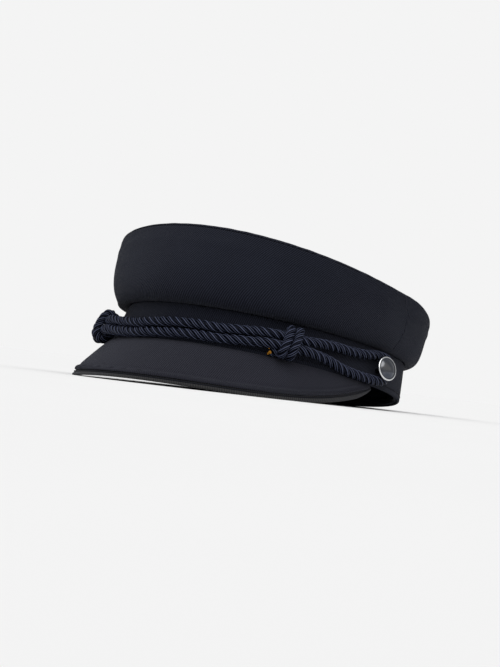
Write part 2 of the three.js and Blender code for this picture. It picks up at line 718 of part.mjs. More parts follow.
const peakUnder = peakLayerGeometry(PEAK_UPPER_WALL, PEAK_UNDER_WALL, GAP);
const cap = new THREE.Group();
cap.add(
  nodeMesh("band", pressedFlat(bandGeometry()), CLOTH),
  nodeMesh("sweatband", sweatbandGeometry(), LINING_CLOTH),
  nodeMesh("crown_front_panel", crownPanelGeometry(false), CLOTH),
  nodeMesh("crown_back_panel", crownPanelGeometry(true), CLOTH),
  nodeMesh("crown_top", crownTopGeometry(), CLOTH),
  nodeMesh("crown_lining", liningGeometry(), LINING_CLOTH),
  nodeMesh("peak_upper", peakLayerGeometry(0, PEAK_UPPER_WALL, 0), CLOTH),
  nodeMesh("peak_under", pressedFlat(peakUnder), CLOTH),
  nodeMesh("peak_seam_tape", peakTapeGeometry(), CLOTH),
  nodeMesh("cord_loop", cordGeometry(), CORD_YARN),
  nodeMesh("knot_left", knotGeometry(KNOT_LEFT_ANGLE, KNOT_LEFT_HEIGHT), CORD_YARN),
  nodeMesh("knot_right", knotGeometry(KNOT_RIGHT_ANGLE, KNOT_RIGHT_HEIGHT), CORD_YARN),
  buttonMesh("button_left", 1),
  buttonMesh("button_right", -1),
);
cap.rotation.x = -rest.tip;

// The table is z = 0 and the cap stands centred over the origin.
const group = new THREE.Group();
group.add(cap);
group.updateMatrixWorld(true);
const bounds = new THREE.Box3().setFromObject(group, true);
const middle = bounds.getCenter(new THREE.Vector3());
cap.position.set(-middle.x, -middle.y, -bounds.min.z);

export default group;
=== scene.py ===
"""A sailor cap in very dark navy cotton twill, resting on a pale studio floor.

Sizes are in millimetres and angles in degrees in the cap's own frame: the band's lower edge
lies in the plane z = 0, the wearer's left is +X and the peak points to -Y.
"""

import bmesh
import bpy
import numpy as np
from mathutils import Matrix


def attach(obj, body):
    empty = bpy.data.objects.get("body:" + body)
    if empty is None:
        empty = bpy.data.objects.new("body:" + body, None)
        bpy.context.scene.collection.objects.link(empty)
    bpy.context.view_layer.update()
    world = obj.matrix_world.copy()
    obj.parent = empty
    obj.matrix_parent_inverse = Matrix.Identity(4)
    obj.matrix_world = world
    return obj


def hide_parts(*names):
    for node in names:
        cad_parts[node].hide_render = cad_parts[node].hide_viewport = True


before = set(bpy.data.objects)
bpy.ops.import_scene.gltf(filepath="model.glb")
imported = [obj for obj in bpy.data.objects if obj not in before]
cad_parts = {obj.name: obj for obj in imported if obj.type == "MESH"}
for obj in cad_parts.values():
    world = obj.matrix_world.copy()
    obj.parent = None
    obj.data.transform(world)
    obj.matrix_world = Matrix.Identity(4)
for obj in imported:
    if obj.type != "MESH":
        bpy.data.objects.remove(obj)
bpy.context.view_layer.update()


# Band. A straight strip of cotton twill over a stiff interlining, closed at the back of the
# head. Its lower edge is folded in and topstitched, and its upper edge is sewn into the crown.
MM = 0.001
UP = np.array([0.0, 0.0, 1.0])
REST_TIP = np.radians(7.627325)
REST_BACK = 9.697215
REST_LIFT = 12.972911
CLEARANCE = 0.3
HEAD_WIDE = 85.0
HEAD_LONG = 100.0
BAND_TALL = 23.4
BAND_THICK = 1.6
BAND_TOP = {"wide": 80.0, "front": 95.0, "rear": 98.9, "back": 12.9}
BAND_RIPPLE = 0.15
TOPSTITCH_UP = 3.1
TOPSTITCH_SINK = 0.28
TOPSTITCH_SPREAD = 0.55
WELD_WITHIN = 2e-6
THREADS_A_RIDGE = 2.3
# The navy twill's two colours: the dark one between the ridges, partly painted shade, and the
# paler one on the ridges and lumps, partly wear and partly painted light.
NAVY = (0.0022, 0.0027, 0.0062, 1.0)
NAVY_WORN_AND_LIT = (0.0145, 0.0168, 0.0275, 1.0)


def on_table(points):
    """The cap's own millimetres to the row's metres: turned back about X by the angle at
    which it rests, moved over the origin, and pressed flat where the cloth meets the table."""
    c, s = np.cos(REST_TIP), np.sin(REST_TIP)
    x, y, z = points[..., 0], points[..., 1], points[..., 2]
    up = np.maximum(z * c - y * s + REST_LIFT, 0.0)
    return np.stack([x, y * c + z * s + REST_BACK, up], -1) * MM


def together(*values):
    """Values spread over one grid and put together as its points."""
    return np.stack(np.broadcast_arrays(*values), -1)


def outward(t):
    """The level direction out of the cap at an angle t from the middle of the front."""
    return together(np.sin(t), -np.cos(t), 0.0)


def oval(wide, front, rear, back, t, z):
    """Half an ellipse to the front and half to the rear of its widest place, which lies
    behind the origin by the value back."""
    reach = np.where(np.cos(t) > 0, front + back, rear - back)
    return together(wide * np.sin(t), back - reach * np.cos(t), z)


def band_at(t, z, off=0.0):
    """A point at height z on the band's face: the lower oval blended with the upper one in
    proportion to height, moved straight out by off."""
    t, z, off = np.broadcast_arrays(t * 1.0, z, off)
    low = oval(HEAD_WIDE, HEAD_LONG, HEAD_LONG, 0.0, t, z)
    high = oval(**BAND_TOP, t=t, z=z)
    return low + (high - low) * (z / BAND_TALL)[..., None] + outward(t) * off[..., None]


def ripple(t, seed, waves, strength):
    """A smooth uneven wave round the cap: a few sines of whole numbers of waves, each with
    its own start and size."""
    rng = np.random.default_rng(seed)
    total = np.zeros_like(t)
    for count in waves:
        total = total + rng.uniform(0.5, 1.0) * np.sin(count * t + rng.uniform(0, 6.28))
    return strength * total / len(waves)


def hill(value, top, spread, power=2):
    """A smooth rise to one at its top: the exponential of less an even power of the distance
    from there, counted in spreads."""
    return np.exp(-(((value - top) / spread) ** power))


def spaced(length, steps, fold):
    """Shares across a piece: crowded within a fold's depth of each edge, even between."""
    near = fold * np.array([0.0, 0.1, 0.32, 0.62])
    middle = np.linspace(fold, length - fold, steps)
    return np.concatenate([near, middle, length - near[::-1]]) / length


def square_out(face, around):
    """Unit normals of a grid: the cross product of its two directions of travel, or straight
    up where they give none."""
    ring = np.concatenate([face[-2:-1], face, face[1:2]]) if around else face
    along = np.gradient(ring, axis=0)
    along = along[1:-1] if around else along
    normal = np.cross(along, np.gradient(face, axis=1))
    size = np.linalg.norm(normal, axis=-1, keepdims=True)
    least = 1e-9
    return np.where(size > least, normal / np.maximum(size, least), UP)


def distance(points, axis=0):
    """How far each point of a line or grid lies from the start of its line: the sum of the
    steps up to it."""
    step = np.linalg.norm(np.diff(points, axis=axis), axis=-1)
    return np.insert(np.cumsum(step, axis=axis), 0, 0.0, axis=axis)


def edge_distance(face, around, to_middle=False, side_fold=1.0):
    """How far each point of a grid lies from the nearest open edge, along its grid lines. The
    side edges count as farther off by side_fold, so that their folds are tighter."""
    far = distance(face, 1)
    near = far if to_middle else np.minimum(far, far[:, -1:] - far)
    if not around:
        side = distance(face)
        near = np.minimum(near, np.minimum(side, side[-1:] - side) * side_fold)
    return near


def skins(face, thick, around, to_middle=False, side_fold=1.0):
    """The outer and the inner skin of a cloth wall: both curve to the middle of its thickness
    at its open edges, as a quarter circle does, so that an edge looks folded."""
    normal = square_out(face, around)
    half = np.broadcast_to(np.asarray(thick) / 2, face.shape[:2])[..., None]
    near = edge_distance(face, around, to_middle, side_fold)[..., None] / half
    full = np.sqrt(1 - np.clip(1 - near, 0, 1) ** 2)
    return face - normal * half * (1 - full), face - normal * half * (1 + full)


def flat_map(face, from_middle=False):
    """A map of the cloth in metres: the distance along the grid, which is the rows' mean, or
    each row's own from its middle as cloth that is cut flat, and the distance across it."""
    along = distance(face)
    along = along if from_middle else along.mean(axis=1, keepdims=True)
    return together(along - along[len(along) // 2], distance(face, 1)) * MM


def put_in_scene(name, data):
    """A new object at the origin, in the scene."""
    thing = bpy.data.objects.new(name, data)
    bpy.context.scene.collection.objects.link(thing)
    return thing


def make_piece(name, grids, maps, material, slot, nodes=()):
    """One mesh from grids of points, each facing the way its first direction crosses its
    second. Corners that meet are welded, and the maps become its UV map."""
    points, faces, places, first = [], [], [], 0
    for grid, place in zip(grids, maps):
        index = first + np.arange(grid[..., 0].size).reshape(grid.shape[:-1])
        here, ahead = index[..., :-1, :], index[..., 1:, :]
        corners = (here[..., :-1], ahead[..., :-1], ahead[..., 1:], here[..., 1:])
        faces.append(np.stack(corners, -1).reshape(-1, 4))
        points.append(grid.reshape(-1, 3))
        places.append(np.broadcast_to(place, grid.shape[:-1] + (2,)).reshape(-1, 2))
        first += index.size
    points = on_table(np.concatenate(points))
    mesh = bpy.data.meshes.new(name)
    mesh.from_pydata(points.tolist(), [], np.concatenate(faces).tolist())
    corner = np.zeros(len(mesh.loops), np.int32)
    mesh.loops.foreach_get("vertex_index", corner)
    cloth = mesh.uv_layers.new(name="cloth").data
    cloth.foreach_set("uv", np.concatenate(places)[corner].ravel())
    welded = bmesh.new()
    welded.from_mesh(mesh)
    bmesh.ops.remove_doubles(welded, verts=welded.verts, dist=WELD_WITHIN)
    welded.to_mesh(mesh)
    welded.free()
    mesh.shade_smooth()
    mesh.materials.append(material)
    piece = put_in_scene(name, mesh)
    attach(piece, "root")
    if nodes:
        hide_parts(*nodes)


def sew_skins(name, skin, place, *finish):
    """A closed wall from its outer and inner skin, which share one map of the cloth. The
    finish is make_piece's material, slot and nodes; the slot is not used."""
    make_piece(name, [skin[0], skin[1][::-1]], [place, place[::-1]], *finish)


def sew_wall(name, face, thick, around, *finish, side_fold=1.0):
    """A closed cloth wall from its outer face, mapped flat."""
    skin = skins(face, thick, around, side_fold=side_fold)
    sew_skins(name, skin, flat_map(face, not around), *finish)


def maths(tree, operation, *values):
    """A math node on links or numbers: one, two or three, as its operation needs."""
    node = tree.nodes.new("ShaderNodeMath")
    node.operation = operation
    for socket, value in zip(node.inputs, values):
        if isinstance(value, (int, float)):
            socket.default_value = value
        else:
            tree.links.new(value, socket)
    return node.outputs[0]


def noise(tree, place, scale, detail=2.0):
    """Soft noise at a place, as a value about one half."""
    node = tree.nodes.new("ShaderNodeTexNoise")
    node.inputs["Scale"].default_value = scale
    node.inputs["Detail"].default_value = detail
    tree.links.new(place, node.inputs["Vector"])
    return node.outputs["Fac"]


def both_ways(tree, place):
    """The two distances, along the cloth and across it, of a place on its map."""
    split = tree.nodes.new("ShaderNodeSeparateXYZ")
    tree.links.new(place, split.inputs[0])
    return split.outputs[0], split.outputs[1]


def blend_colours(tree, share, first, second):
    """A mix of two colours by a share."""
    node = tree.nodes.new("ShaderNodeMix")
    node.data_type = "RGBA"
    tree.links.new(share, node.inputs["Factor"])
    for socket, value in zip((node.inputs["A"], node.inputs["B"]), (first, second)):
        if isinstance(value, tuple):
            socket.default_value = value
        else:
            tree.links.new(value, socket)
    return node.outputs["Result"]


def twill_group():
    """Twill: ridges that cross the cloth on a slant, each made of short raised threads. The
    ridges are a sine of the distance across them, and the threads are a quicker sine along
    them that leans over each ridge. Noise bends both and adds lumps."""
    tree = bpy.data.node_groups.new("twill", "ShaderNodeTree")
    for name, kind in (("Map", "Vector"), ("Ridge", "Float"), ("Slant", "Float")):
        tree.interface.new_socket(name, in_out="INPUT", socket_type="NodeSocket" + kind)
    for name in ("Height", "ShadeAndWear", "Fade"):
        tree.interface.new_socket(name, in_out="OUTPUT", socket_type="NodeSocketFloat")
    given = tree.nodes.new("NodeGroupInput").outputs
    leave = tree.nodes.new("NodeGroupOutput").inputs
    place = given["Map"]
    u, v = both_ways(tree, place)
    turn = maths(tree, "RADIANS", given["Slant"])
    c, s = maths(tree, "COSINE", turn), maths(tree, "SINE", turn)
    along = maths(tree, "MULTIPLY_ADD", u, c, maths(tree, "MULTIPLY", v, s))
    across = maths(tree, "MULTIPLY", u, s)
    across = maths(tree, "SUBTRACT", across, maths(tree, "MULTIPLY", v, c))
    bend = maths(tree, "MULTIPLY", noise(tree, place, 160.0), 0.0009)
    rate = maths(tree, "DIVIDE", 2 * np.pi / MM, given["Ridge"])
    ridge = maths(tree, "MULTIPLY", maths(tree, "ADD", across, bend), rate)
    ridges = maths(tree, "SINE", ridge)
    quick = maths(tree, "MULTIPLY", rate, THREADS_A_RIDGE)
    thread = maths(tree, "MULTIPLY_ADD", along, quick, ridge)
    threads = maths(tree, "SINE", maths(tree, "MULTIPLY_ADD", bend, 9000.0, thread))
    lumps = noise(tree, place, 1400.0)
    height = maths(tree, "MULTIPLY_ADD", threads, 0.3, ridges)
    # Colour share: the ridges paler, partly wear and partly painted light, the grooves darker,
    # partly painted shade, and the lumps the cloth's own uneven tone.
    shade = maths(tree, "MULTIPLY_ADD", ridges, 0.52, 0.22)
    tree.links.new(maths(tree, "MULTIPLY_ADD", lumps, 0.9, height), leave["Height"])
    tree.links.new(maths(tree, "MULTIPLY_ADD", lumps, 0.62, shade), leave["ShadeAndWear"])
    tree.links.new(noise(tree, place, 22.0, 4.0), leave["Fade"])
    return tree


TWILL = twill_group()


def new_finish(name, roughness, specular, sheen=0.0, metallic=0.0):
    """A material with its shader's constants set on the shader itself."""
    material = bpy.data.materials.new(name)
    material.use_nodes = True
    shader = material.node_tree.nodes["Principled BSDF"]
    shader.inputs["Roughness"].default_value = roughness
    shader.inputs["Specular IOR Level"].default_value = specular
    shader.inputs["Metallic"].default_value = metallic
    shader.inputs["Sheen Weight"].default_value = sheen
    shader.inputs["Sheen Roughness"].default_value = 0.45
    shader.inputs["Sheen Tint"].default_value = (0.80, 0.84, 1.0, 1.0)
    return material, material.node_tree, shader


def colour_surface(tree, shader, share, first, second):
    """Feeds a mix of two colours to the shader."""
    tree.links.new(blend_colours(tree, share, first, second), shader.inputs["Base Color"])


def raise_surface(tree, shader, height, strength, deep):
    """Feeds a height to the shader's normal through a bump node."""
    bump = tree.nodes.new("ShaderNodeBump")
    bump.inputs["Strength"].default_value = strength
    bump.inputs["Distance"].default_value = deep
    tree.links.new(height, bump.inputs["Height"])
    tree.links.new(bump.outputs["Normal"], shader.inputs["Normal"])


def cloth_map(tree):
    """The piece's own map of its cloth, in metres."""
    node = tree.nodes.new("ShaderNodeUVMap")
    node.uv_map = "cloth"
    return node.outputs["UV"]


def twill_finish(name, dark, worn_and_lit, ridge, slant, sheen=0.04):
    """Twill: a paler colour on its ridges and lumps, the dark one between them, and a slow
    fading over the whole cloth. The lumps are the cloth's own uneven tone; the paler ridges
    are partly wear and partly painted light, and the dark between them partly painted shade."""
    material, tree, shader = new_finish(name, 0.88, 0.12, sheen)
    weave = tree.nodes.new("ShaderNodeGroup")
    weave.node_tree = TWILL
    weave.inputs["Ridge"].default_value = ridge
    weave.inputs["Slant"].default_value = slant
    tree.links.new(cloth_map(tree), weave.inputs["Map"])
    fade = maths(tree, "MULTIPLY_ADD", weave.outputs["Fade"], 0.6, -0.3)
    share = maths(tree, "ADD", weave.outputs["ShadeAndWear"], fade)
    share.node.use_clamp = True
    colour_surface(tree, shader, share, dark, worn_and_lit)
    raise_surface(tree, shader, weave.outputs["Height"], 0.7, 0.00025)
    return material


round_cap = np.linspace(0, 2 * np.pi, 361)
rows = spaced(BAND_TALL, 30, BAND_THICK / 2) * BAND_TALL
t, z = np.meshgrid(round_cap, rows, indexing="ij")
uneven = ripple(t, 3, (9, 14, 23), BAND_RIPPLE) * np.sin(np.pi * z / BAND_TALL)
groove = TOPSTITCH_SINK * hill(z, TOPSTITCH_UP, TOPSTITCH_SPREAD)
face = band_at(t, z, uneven - groove)
BAND_TWILL = twill_finish("band twill", NAVY, NAVY_WORN_AND_LIT, 1.15, 78.0)
sew_wall("cap_band", face, BAND_THICK, True, BAND_TWILL, "cap_cloth", ["band"])


# Topstitching. Lockstitches in navy thread, each a short raised stroke pulled down into the
# cloth at both ends. They hold the band's folded lower edge.
STITCH_LONG = 2.3
STITCH_PITCH = 3.1
STITCH_RISE = 0.35
STITCH_PULL = 0.55
STITCH_LOOK = 0.2
THREAD_THICK = 0.55
THREAD_DARK = (0.0022, 0.0026, 0.0052, 1.0)
THREAD_PALE = (0.009, 0.010, 0.015, 1.0)


def thread_finish():
    """Navy sewing thread: fine slanted lines along its length."""
    material, tree, shader = new_finish("sewing thread", 0.6, 0.1)
    along, across = both_ways(tree, cloth_map(tree))
    across = maths(tree, "MULTIPLY", across, 12.0)
    wave = maths(tree, "SINE", maths(tree, "MULTIPLY_ADD", along, 9000.0, across))
    share = maths(tree, "MULTIPLY_ADD", wave, 0.5, 0.5)
    colour_surface(tree, shader, share, THREAD_DARK, THREAD_PALE)
    raise_surface(tree, shader, wave, 0.3, 0.0001)
    return material


THREAD = thread_finish()


def walk(path, places, far=None):
    """Points at given distances along a line of points, by its own arc length or by another
    line's."""
    far = distance(path) if far is None else far
    return np.stack([np.interp(places, far, path[:, axis]) for axis in range(3)], -1)


def unit(vectors):
    """Vectors brought to a length of one."""
    return vectors / np.linalg.norm(vectors, axis=-1, keepdims=True)


def square_to(vectors, line):
    """Unit vectors square to a line: less their share along the line's own unit vectors."""
    return unit(vectors - line * (vectors * line).sum(-1, keepdims=True))


def round_line(first, second, turn):
    """Directions round a line at some angles from a first unit vector towards a second."""
    turn = turn.reshape(-1, *[1] * first.ndim)
    return first * np.cos(turn) + second * np.sin(turn)


def sew_stitches(name, path, face_out):
    """A row of stitches along a line on cloth. Each is a tube along a low arch, thinned to a
    point at both ends as a circle's edge is, half sunk into the cloth."""
    total = distance(path)[-1]
    starts = (np.arange(int(total / STITCH_PITCH)) + 0.5) * STITCH_PITCH
    here = walk(path, starts)
    ahead = unit(walk(path, starts + STITCH_LOOK) - walk(path, starts - STITCH_LOOK))
    out = square_to(walk(face_out, starts * distance(face_out)[-1] / total), ahead)
    share = np.linspace(-1, 1, 7)
    turn = np.linspace(0, 2 * np.pi, 7)
    arch = THREAD_THICK * (STITCH_RISE - STITCH_PULL * share**2)
    thin = THREAD_THICK / 2 * np.sqrt(1 - share**4)
    middle = here[:, None] + ahead[:, None] * (share * STITCH_LONG / 2)[:, None]
    middle = middle + out[:, None] * arch[:, None]
    rim = round_line(np.cross(ahead, out), out, turn).swapaxes(0, 1)[:, :, None]
    grid = middle[:, None] + rim * thin[:, None]
    place = together(share * MM, turn[:, None] / (2 * np.pi))
    make_piece(name, [grid[:, ::-1]], [place[::-1]], THREAD, "cap_cloth")


def sew_ring(name, height, off, side=1):
    """Stitches round the band at a height and distance off its face. They look outwards, or
    with a side of -1 inwards."""
    turn = np.radians(np.linspace(0, 360, 721))[::side]
    sew_stitches(name, band_at(turn, height, off), side * outward(turn) * HEAD_LONG)


sew_ring("band_topstitch", TOPSTITCH_UP, -0.2)


# Sweatband. A strip of dark cotton inside the band, its lower edge wrapped in a paler binding
# and both edges run over by the machine. It is joined upright at the wearer's left.
SWEAT_UP = 0.6
SWEAT_TALL = 20.0
SWEAT_THICK = 1.4
SWEAT_OUT = -BAND_THICK - CLEARANCE
SWEAT_IN = SWEAT_OUT - SWEAT_THICK
BINDING_TALL = 3.0
BINDING_MORE = 0.6
BINDING_SINK = 0.15
BINDING_INSET = 0.25
QUILT = {"low": 4.0, "high": 17.5, "pitch": 3.6, "deep": 0.12}
JOIN = {"at": np.radians(62), "wide": 0.6, "deep": 0.35}
LINING_DARK = (0.0040, 0.0050, 0.0120, 1.0)
LINING_PALE = (0.0100, 0.0125, 0.0260, 1.0)
BINDING_DARK = (0.009, 0.010, 0.015, 1.0)
BINDING_PALE = (0.022, 0.023, 0.030, 1.0)


def plain_finish(name, dark, pale, threads, sheen):
    """Plain woven cotton: two sines crossing at right angles, with soft mottling."""
    material, tree, shader = new_finish(name, 0.82, 0.15, sheen)
    place = cloth_map(tree)
    waves = [maths(tree, "SINE", maths(tree, "MULTIPLY", way, threads))
             for way in both_ways(tree, place)]
    weave = maths(tree, "MULTIPLY", *waves)
    mottle = noise(tree, place, 240.0, 5.0)
    share = maths(tree, "MULTIPLY_ADD", weave, 0.15, mottle)
    colour_surface(tree, shader, share, dark, pale)
    raise_surface(tree, shader, maths(tree, "ADD", weave, mottle), 0.35, 0.00015)
    return material


LINING_COTTON = plain_finish("lining cotton", LINING_DARK, LINING_PALE, 6000.0, 0.03)
BINDING_COTTON = plain_finish("binding cotton", BINDING_DARK, BINDING_PALE, 4500.0, 0.06)
rows = spaced(SWEAT_TALL, 26, SWEAT_THICK / 2) * SWEAT_TALL
t, z = np.meshgrid(round_cap, rows, indexing="ij")
face = band_at(t, z + SWEAT_UP, SWEAT_OUT)
outer, inner = skins(face, SWEAT_THICK, True)
quilt = QUILT["deep"] * np.cos(2 * np.pi * (z - QUILT["low"]) / QUILT["pitch"])
quilt = quilt * (z > QUILT["low"]) * (z < QUILT["high"])
quilt -= JOIN["deep"] * hill(t, JOIN["at"], JOIN["wide"] / HEAD_WIDE)
inner = inner - outward(t) * quilt[..., None]
sew_skins("cap_sweatband", (outer, inner), flat_map(face),
          LINING_COTTON, "lining_cloth", ["sweatband"])
t, bend = np.meshgrid(round_cap, np.linspace(-np.pi / 2, np.pi / 2, 9), indexing="ij")
high = SWEAT_UP + BINDING_INSET + (BINDING_TALL - 2 * BINDING_INSET) * (1 + np.sin(bend)) / 2
binding = band_at(t, high, SWEAT_IN + BINDING_SINK - BINDING_MORE * np.cos(bend))
behind = band_at(t, high, SWEAT_IN + BINDING_SINK)
place = flat_map(binding)
make_piece("sweatband_binding", [binding[::-1], behind], [place[::-1], place],
           BINDING_COTTON, "lining_cloth")
sew_ring("binding_stitches", SWEAT_UP + BINDING_TALL + 1.2, SWEAT_IN, -1)
sew_ring("sweatband_stitches", SWEAT_UP + SWEAT_TALL - 1.8, SWEAT_IN, -1)


# Crown wall. A wide front panel and a lower back panel of twill, joined by seams over the
# buttons. It swells out just above the band, and light padding keeps the front full.
def table(columns, rows):
    """Rows of numbers under their columns' names."""
    return [dict(zip(columns.split(), row)) for row in rows]


CROWN_THICK = 1.6
CROWN_EDGE = {"wide": 94.7, "front": 96.1, "rear": 101.7, "back": 6.9}
CROWN_RISE = {"front": 46.0, "side": 32.0, "rear": 14.5, "power": 1.4}
CROWN_BULGE = {"front": 10.2, "side": 3.5, "rear": 10.4, "power": 1.5}
CROWN_FULL = 2.8
CROWN_SQUARE = 1.2
SWELL_POWER = 2.5
PANEL_LONG = 300.0
PANEL_TALL = 58.0
SEAM_FOLD = 1.8
SEAM_LAP = 0.1
TURNING = {"below": 0.085, "wide": 0.024, "high": 0.42, "uneven": 0.9}
TOP_PUCKER = {"fade": 0.10, "high": 0.25}
BAND_PUCKER = {"fade": 0.12, "high": 0.14}
SIDE_PUCKER = {"fade": 4.0, "high": 0.08, "waves": 38}
PUCKER_POWER = 0.3
WALL_WAVE = 0.5
SIDE_SEAM_UP = (0.0, 0.5, 0.75, 0.9, 1.0)
SIDE_SEAM_AT = (88.5, 90.6, 92.4, 90.9, 84.0)
CREASE_DEEP = 1.8
CREASES = table("angle up spread tall deep", (
    (88, 0.93, 7, 0.16, 1.0),
    (101, 0.7, 8, 0.3, 0.5),
    (70, 0.86, 9, 0.14, 0.45),
    (-22, 0.8, 12, 0.2, 0.4),
    (-84, 0.85, 10, 0.2, 0.9),
    (150, 0.6, 14, 0.3, 0.7),
    (-150, 0.6, 14, 0.3, 0.7),
    (-62, 0.12, 26, 0.15, -3.0),
))


def round_cap_value(front, side, rear, power, t):
    """A value that changes from the side's to the front's or the rear's by a power of the
    cosine of the angle."""
    return side + (np.where(np.cos(t) > 0, front, rear) - side) * np.abs(np.cos(t)) ** power


def crown_edge(t):
    """The seam between the crown's wall and its top: an oval, a little square at its corners,
    that rises from the back to the front."""
    rise = round_cap_value(**CROWN_RISE, t=t)
    corner = (CROWN_SQUARE * np.sin(2 * t) ** 2)[..., None]
    return oval(**CROWN_EDGE, t=t, z=BAND_TALL + rise) + outward(t) * corner


def crown_at(t, up):
    """The crown's wall: the way from the band's top to the crown's edge by a power of the
    height, pushed out by a sine of the height, less the soft hollows of the creases. A
    crease of negative depth is a slump that stands out."""
    low = oval(**BAND_TOP, t=t, z=BAND_TALL - SEAM_LAP)
    out = up**SWELL_POWER
    hollow = np.zeros_like(t)
    for crease in CREASES:
        past = (t - np.radians(crease["angle"]) + np.pi) % (2 * np.pi) - np.pi
        beside = hill(past, 0, np.radians(crease["spread"]))
        hollow += crease["deep"] * beside * hill(up, crease["up"], crease["tall"])
    full = CROWN_FULL * np.maximum(0, np.cos(t)) * np.sin(np.pi * out)
    swell = round_cap_value(**CROWN_BULGE, t=t) * np.sin(np.pi * up) + full
    swell -= CREASE_DEEP * hollow * np.sqrt(np.sin(np.pi * up).clip(0))
    return low + (crown_edge(t) - low) * out[..., None] + outward(t) * swell[..., None]


def crown_panel(at_back):
    """The front or the back panel's face between the side seams, with small puckers that fade
    away from its seams, and a soft ridge where the edge turned in under the top shows through."""
    up = spaced(PANEL_TALL, 46, CROWN_THICK / 2)
    along = spaced(PANEL_LONG, 260, CROWN_THICK / 2)
    seam = np.radians(np.interp(up, SIDE_SEAM_UP, SIDE_SEAM_AT))
    start, end = (seam, 2 * np.pi - seam) if at_back else (-seam, seam)
    start, end = start - SEAM_LAP / HEAD_WIDE, end + SEAM_LAP / HEAD_WIDE
    t = start + (end - start) * along[:, None]
    u = np.broadcast_to(up, t.shape)
    face = crown_at(t, u)
    inside = np.sin(np.pi * u.clip(0, 1)) ** PUCKER_POWER
    beside = np.minimum(along, 1 - along)[:, None] * PANEL_LONG
    at_top = ripple(t, 5, (31, 44, 57), TOP_PUCKER["high"]) * hill(u, 1, TOP_PUCKER["fade"])
    at_band = ripple(t, 6, (37, 52, 68), BAND_PUCKER["high"]) * hill(u, 0, BAND_PUCKER["fade"])
    at_side = SIDE_PUCKER["high"] * hill(beside, 0, SIDE_PUCKER["fade"])
    turning = TURNING["high"] * hill(1 - u, TURNING["below"], TURNING["wide"])
    pucker = (at_top + at_band) * inside + at_side * np.sin(u * SIDE_PUCKER["waves"])
    pucker += turning * (1 + ripple(t, 9, (4, 7, 12), TURNING["uneven"]))
    pucker += ripple(t, 7, (5, 7, 11), WALL_WAVE) * np.sin(np.pi * u)
    return face + square_out(face, False) * pucker[..., None]


for side, twill, slant in (("front", "crown twill", 60.0), ("back", "back panel twill", 120.0)):
    cloth = twill_finish(twill, NAVY, NAVY_WORN_AND_LIT, 1.25, slant)
    sew_wall(f"crown_{side}", crown_panel(side == "back"), CROWN_THICK, False,
             cloth, "cap_cloth", [f"crown_{side}_panel"], side_fold=SEAM_FOLD)


# Crown top. One oval of twill sewn to the wall; its edge rolls up from the seam and lies a
# little proud of it, and its middle is slack.
TOP_THICK = 1.6
TOP_ROLL = 4.5
TOP_MIDDLE = 33.0
TOP_SLACK = 1.1
ROLL_POWER = 8
ROLL_PUCKER = {"at": 0.5, "fade": 0.35, "high": 0.15}
FIRST_ROWS = (0.0, 0.0015, 0.004, 0.009)


def roll_over(edge, middle_up, turn):
    """A round face from its edge inwards: its reach from the middle shrinks by the eighth root
    of one less the turn squared, while it rises evenly by the roll's height."""
    spread = (1 - turn**2).clip(0) ** (1 / ROLL_POWER)
    middle = np.array([0.0, CROWN_EDGE["back"], middle_up])
    rise = (TOP_ROLL * turn)[..., None] * UP
    return middle + (edge - middle) * spread[..., None] + rise, spread


def close_middle(grid):
    """Draws a round grid's last ring together to one point."""
    grid[:, -1] = grid[:, -1].mean(axis=0)
    return grid


def sew_round(name, face, thick, place, *finish):
    """A closed cloth wall from a round outer face whose rings end in one middle point."""
    skin = [close_middle(side) for side in skins(face, thick, True, to_middle=True)]
    sew_skins(name, skin, place, *finish)


rows = np.concatenate([FIRST_ROWS, np.linspace(0, 1, 60)[1:]])
t, turn = np.meshgrid(round_cap, 1 - (1 - rows) ** ROLL_POWER, indexing="ij")
face, spread = roll_over(crown_edge(t), BAND_TALL + TOP_MIDDLE, turn)
slack = ripple(t, 21, (2, 3, 5), TOP_SLACK) * np.sin(np.pi * spread.clip(0, 1)) ** 2
pucker = ripple(t, 22, (33, 47, 61), ROLL_PUCKER["high"])
pucker *= hill(turn, ROLL_PUCKER["at"], ROLL_PUCKER["fade"])
face = close_middle(face + square_out(face, True) * (slack + pucker)[..., None])
TOP_TWILL = twill_finish("top twill", NAVY, NAVY_WORN_AND_LIT, 1.25, 60.0)
sew_round("crown_top_panel", face, TOP_THICK, face[..., :2] * MM,
          TOP_TWILL, "cap_cloth", ["crown_top"])


# Lining. A slack bag of dark cotton sewn in above the sweatband, which falls in soft level
# folds inside the crown.
LINING_THICK = 1.0
LINING_INSET = 4.5
LINING_DROP = 4.0
LINING_SLACK = 1.5
LINING_FOLD = {"deep": 0.9, "waves": 9}
LINING_NECK = 0.2


def lining_edge(t):
    """The crown's edge, moved in and down to where the lining turns over."""
    return crown_edge(t) - outward(t) * LINING_INSET - UP * LINING_DROP


t, up = np.meshgrid(round_cap[::2], np.linspace(0, 1, 40), indexing="ij")
inset = -BAND_THICK - 2 * CLEARANCE
foot = band_at(t, SWEAT_UP + SWEAT_TALL + CLEARANCE, inset)
neck = oval(**BAND_TOP, t=t, z=BAND_TALL + CROWN_THICK) + outward(t) * inset
low = (up / LINING_NECK).clip(0, 1)[..., None]
high = ((up - LINING_NECK) / (1 - LINING_NECK)).clip(0, 1)[..., None]
fold = 1 - np.cos(LINING_FOLD["waves"] * high + np.sin(2 * t)[..., None])
fold = np.sin(np.pi * high) * (LINING_SLACK - LINING_FOLD["deep"] * fold)
wall = foot + (neck - foot) * low + (lining_edge(t) - neck) * high + outward(t) * fold
rows = np.linspace(0, 1, 40)[1:]
t, turn = np.meshgrid(round_cap[::2], 1 - (1 - rows) ** ROLL_POWER, indexing="ij")
over = roll_over(lining_edge(t), BAND_TALL + TOP_MIDDLE - LINING_DROP, turn)[0]
face = np.concatenate([wall, over], axis=1)
sew_round("cap_lining", face, LINING_THICK, flat_map(face),
          LINING_COTTON, "lining_cloth", ["crown_lining"])


